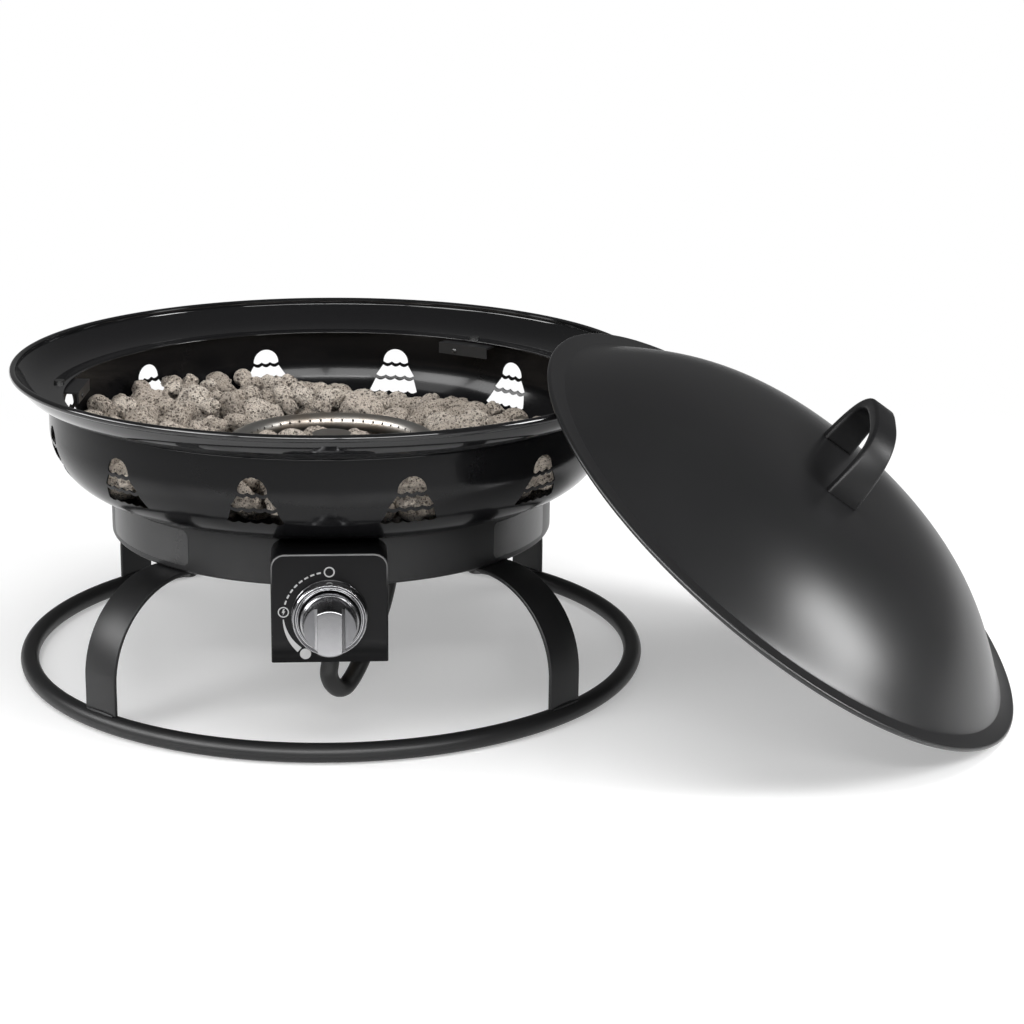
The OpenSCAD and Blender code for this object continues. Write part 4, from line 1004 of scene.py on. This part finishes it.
# %% A smooth route through points
def smooth_route(points, per_span=8):
    """Catmull-Rom curve through points given in millimetres, in metres."""
    p = [Vector(q) * MM for q in points]
    p = [2 * p[0] - p[1]] + p + [2 * p[-1] - p[-2]]
    out = []
    for a, b, c, d in zip(p, p[1:], p[2:], p[3:]):
        for k in range(per_span):
            t = k / per_span
            out.append(0.5 * (2 * b + (c - a) * t + (2 * a - 5 * b + 4 * c - d) * t ** 2
                              + (3 * b - a - 3 * c + d) * t ** 3))
    out.append(p[-2])
    return out


def round_cord(name, points, r, material, slot_name, node):
    """A cord through points with a round section, whose length is printed."""
    route = smooth_route(points)
    curve = bpy.data.curves.new(name, "CURVE")
    curve.dimensions = "3D"
    curve.bevel_depth, curve.bevel_resolution, curve.use_fill_caps = r, 8, True
    spline = curve.splines.new("POLY")
    spline.points.add(len(route) - 1)
    for point, co in zip(spline.points, route):
        point.co = (*co, 1.0)
    spline.use_smooth = True
    obj = put(name, curve)
    adopt(obj, material, slot_name, node)
    length = sum((b - a).length for a, b in zip(route, route[1:]))
    2 * r
    print(name, "length", round(length, 4))


print("route helpers ready")

# %% Hose and lead
HOSE = [(-2.6, -185, 63), (-2.6, -185, 56), (-3.6, -184.4, 47.5), (-1.8, -181, 39.5), (2.6, -175, 32.8),
        (7.9, -168.5, 31.4), (12.6, -162.5, 35.2), (17.2, -156.5, 41.5), (22, -150, 50), (27.5, -143, 61),
        (33, -136.5, 74), (37.8, -130.5, 89), (41, -123, 103.5), (41.4, -112, 115.4), (38.6, -99, 122.6),
        (34.6, -86, 125), (30, -74.2, 125), (26.22, -64.9, 125)]
LEAD = [(-15.6, -88.6, 126), (-15.8, -89, 119), (-16.5, -94, 113), (-17, -104, 109), (-17.5, -120, 105.5),
        (-17.5, -137, 103.5), (-16.5, -153, 102), (-15.2, -165, 101.2), (-14.6, -172, 101)]
HOSE_R, LEAD_R = mm(6.5, 1.5)
round_cord("gas_supply_hose", HOSE, HOSE_R, hose_rubber, "hose_rubber", "gas_hose")
round_cord("spark_lead", LEAD, LEAD_R, lead_rubber, "lead_jacket", "igniter_lead")

# %% [markdown]
# ## Small hardware and gas parts
# Bolts, nuts, valve, mixer and burner keep the CAD's own shapes under the finishes made above.

# %% Finishes for the CAD's own pieces
CARRIED = ((screw_black, ("leg_bolts", "rim_screws", "box_screws")), (satin_black, ("rim_clips",)),
           (zinc, ("leg_nuts", "push_collar", "valve_nut", "hose_ferrules", "air_shutter", "burner_screws",
                   "burner_nuts", "handle_screws")),
           (brass, ("valve_stem", "valve_body", "valve_neck", "gas_inlet", "outlet_nut", "gas_jet")),
           (stainless, ("inlet_pipe", "burner_ring", "igniter_electrode")), (ceramic, ("igniter_ceramic",)))
for material, names in CARRIED:
    for name in names:
        nodes[name].data.materials.clear()
        nodes[name].data.materials.append(material)
print("carried nodes", sum(len(names) for material, names in CARRIED))

# %% [markdown]
# Each rim clip shows the round head of a small screw on its inner face. The heads are turned with a socket
# in the middle, then laid on the clips, which stand a third of a turn apart.

# %% Screw heads on the rim clips
CLIP_AZ, CLIP_SEAT = 55, mm(190.1, 8, 206.4)
HEAD_LINE = ((0, 0), (2.2, 0), (2.2, 0.5), (1.7, 1.0), (0.8, 1.2), (0.7, 0.6), (0, 0.6))
for i in range(3):
    head = lathe("clip_screw_%d" % (i + 1), [mm(*p) for p in HEAD_LINE], spin=24)
    head.data.transform(Matrix.Rotation(radians(CLIP_AZ + 120 * i), 4, "Z") @ Matrix.Translation(CLIP_SEAT)
                        @ Matrix.Rotation(radians(-90), 4, "Y"))
    adopt(head, screw_black, "black_screw")
print("clip screws", 3)

# %% [markdown]
# The collar's two places for printed labels stay blank: each is a smooth dark film with rounded corners, a
# little glossier than the powder coat under it.

# %% Blank films on the collar
FILM_LOW, FILM_HIGH, FILM_CORNER, FILM_UNDER, FILM_OVER = mm(112, 139, 3, 0.02, 0.17)


def collar_film(name, az_from, az_to, steps=28):
    """A rounded patch that follows the collar's curve, 0.15 mm thick."""
    half_w = COLLAR_R * radians(az_to - az_from) / 2
    mid_az, mid_z = radians((az_from + az_to) / 2), (FILM_LOW + FILM_HIGH) / 2
    straight = (FILM_HIGH - FILM_LOW) / 2 - FILM_CORNER
    bm = bmesh.new()
    columns = []
    for k in range(steps + 1):
        u = half_w * (2 * k / steps - 1)
        cut_in = max(0.0, abs(u) - (half_w - FILM_CORNER))
        h = straight + sqrt(max(FILM_CORNER ** 2 - cut_in ** 2, 0.0))
        columns.append([bm.verts.new(radial(COLLAR_R + t, mid_z + s * h, mid_az + u / COLLAR_R))
                        for s, t in ((-1, FILM_UNDER), (-1, FILM_OVER), (1, FILM_OVER), (1, FILM_UNDER))])
    skin(bm, columns, ends=True)
    adopt(new_object(name, bm, 40), film_black, "satin_black")


collar_film("blank_film_left", -165, -128)
collar_film("blank_film_right", -46, -20)
print("blank films", 2)

# %% [markdown]
# ## Floor, light and the room
# The photograph has a white studio round it and soft grey shadows on a pale, slightly polished floor. Near the
# object the floor is an ordinary lit surface that keeps the shadows. Farther out it fades into even white, so
# no horizon shows. Camera rays that miss it see white. The room itself is dim, which keeps the black
# paint deep.

# %% Floor
FLOOR_MIDDLE, FLOOR_NEAR, FLOOR_FAR, FLOOR_GLOW = (0.14, 0.02, 0.0), 0.4, 1.0, 0.34
f = Finish("studio_floor", Roughness=0.2, Emission_Color=rgb(1, 1, 1), Emission_Strength=FLOOR_GLOW)
f.set(Base_Color=f.mix(f.cloud(1.5, detail=2.0), rgb(0.86, 0.86, 0.86), rgb(0.89, 0.89, 0.89)))
distance = f.node("ShaderNodeVectorMath", out=1, settings={"operation": "DISTANCE"}, i0=f.place(), i1=FLOOR_MIDDLE)
white = f.node("ShaderNodeEmission", Color=rgb(1, 1, 1), Strength=1.0)
lit = Value(f.tree, f.shader.outputs[0])
faded = f.node("ShaderNodeMixShader", i0=distance.step(FLOOR_NEAR, FLOOR_FAR), i1=lit, i2=white)
f.tree.links.new(faded.socket, f.tree.nodes["Material Output"].inputs["Surface"])
bm = bmesh.new()
bmesh.ops.create_grid(bm, x_segments=8, y_segments=8, size=15.0)
floor = new_object("floor", bm)
floor.data.materials.append(f.material)
print("floor", floor.dimensions.x, "m wide")

# %% World
ROOM_GLOW, WHITE_SEEN = 0.14, 1.0
scene.world = bpy.data.worlds.new("studio")
scene.world.use_nodes = True
tree = scene.world.node_tree
lit, seen = tree.nodes["Background"], tree.nodes.new("ShaderNodeBackground")
for background, strength in ((lit, ROOM_GLOW), (seen, WHITE_SEEN)):
    background.inputs["Color"].default_value = rgb(1, 1, 1)
    background.inputs["Strength"].default_value = strength
rays, choose = tree.nodes.new("ShaderNodeLightPath"), tree.nodes.new("ShaderNodeMixShader")
for i, source in enumerate((rays.outputs["Is Camera Ray"], lit.outputs[0], seen.outputs[0])):
    tree.links.new(source, choose.inputs[i])
tree.links.new(choose.outputs[0], tree.nodes["World Output"].inputs["Surface"])
print("room glow", ROOM_GLOW)

# %% [markdown]
# Two soft keys, a narrow strip in front and a wide lamp overhead light the object. The overhead lamp is left
# out of reflections, so the paint stays black under it. Four cards from the left round to the front show in
# reflections only: they draw the long highlights on the gloss paint.

# %% Lamps
AIM = (0, 0, 0.15)
LAMPS = (("key_left", (-1.7, -1.3, 1.5), AIM, (0.9, 1.6), 18),
         ("key_right", (1.98, -0.67, 1.02), (0.33, -0.28, 0.12), (0.48, 0.85), 33),
         ("front_strip", (-0.1, -2.3, 1.6), AIM, (1.4, 0.15), 13),
         ("overhead", (0.1, -0.3, 2.4), (0.1, 0, 0.1), (2.4, 2.0), 52))
CARD_AZ, CARD_R, CARD_Z = (-175, -140, -105, -70), 2.3, 1.15
CARD_AIM, CARD_SIZE, CARD_POWER = (0, 0, 0.2), (1.35, 0.8), 40


def soft_lamp(name, at, aim, size, power):
    """A large flat lamp at a point, turned to face another."""
    data = bpy.data.lights.new(name, "AREA")
    data.shape, data.size, data.size_y, data.energy = "RECTANGLE", size[0], size[1], power
    obj = put(name, data)
    obj.location = at
    obj.rotation_euler = (Vector(aim) - Vector(at)).to_track_quat("-Z", "Y").to_euler()
    return obj


for lamp in LAMPS:
    last = soft_lamp(*lamp)
last.visible_glossy = False
for i, az in enumerate(CARD_AZ):
    card = soft_lamp("card_%d" % i, radial(CARD_R, CARD_Z, radians(az)), CARD_AIM, CARD_SIZE, CARD_POWER)
    card.visible_diffuse = card.visible_camera = False
print("lamps", len(LAMPS) + len(CARD_AZ))

# %% Colour management
scene.view_settings.view_transform = "Standard"
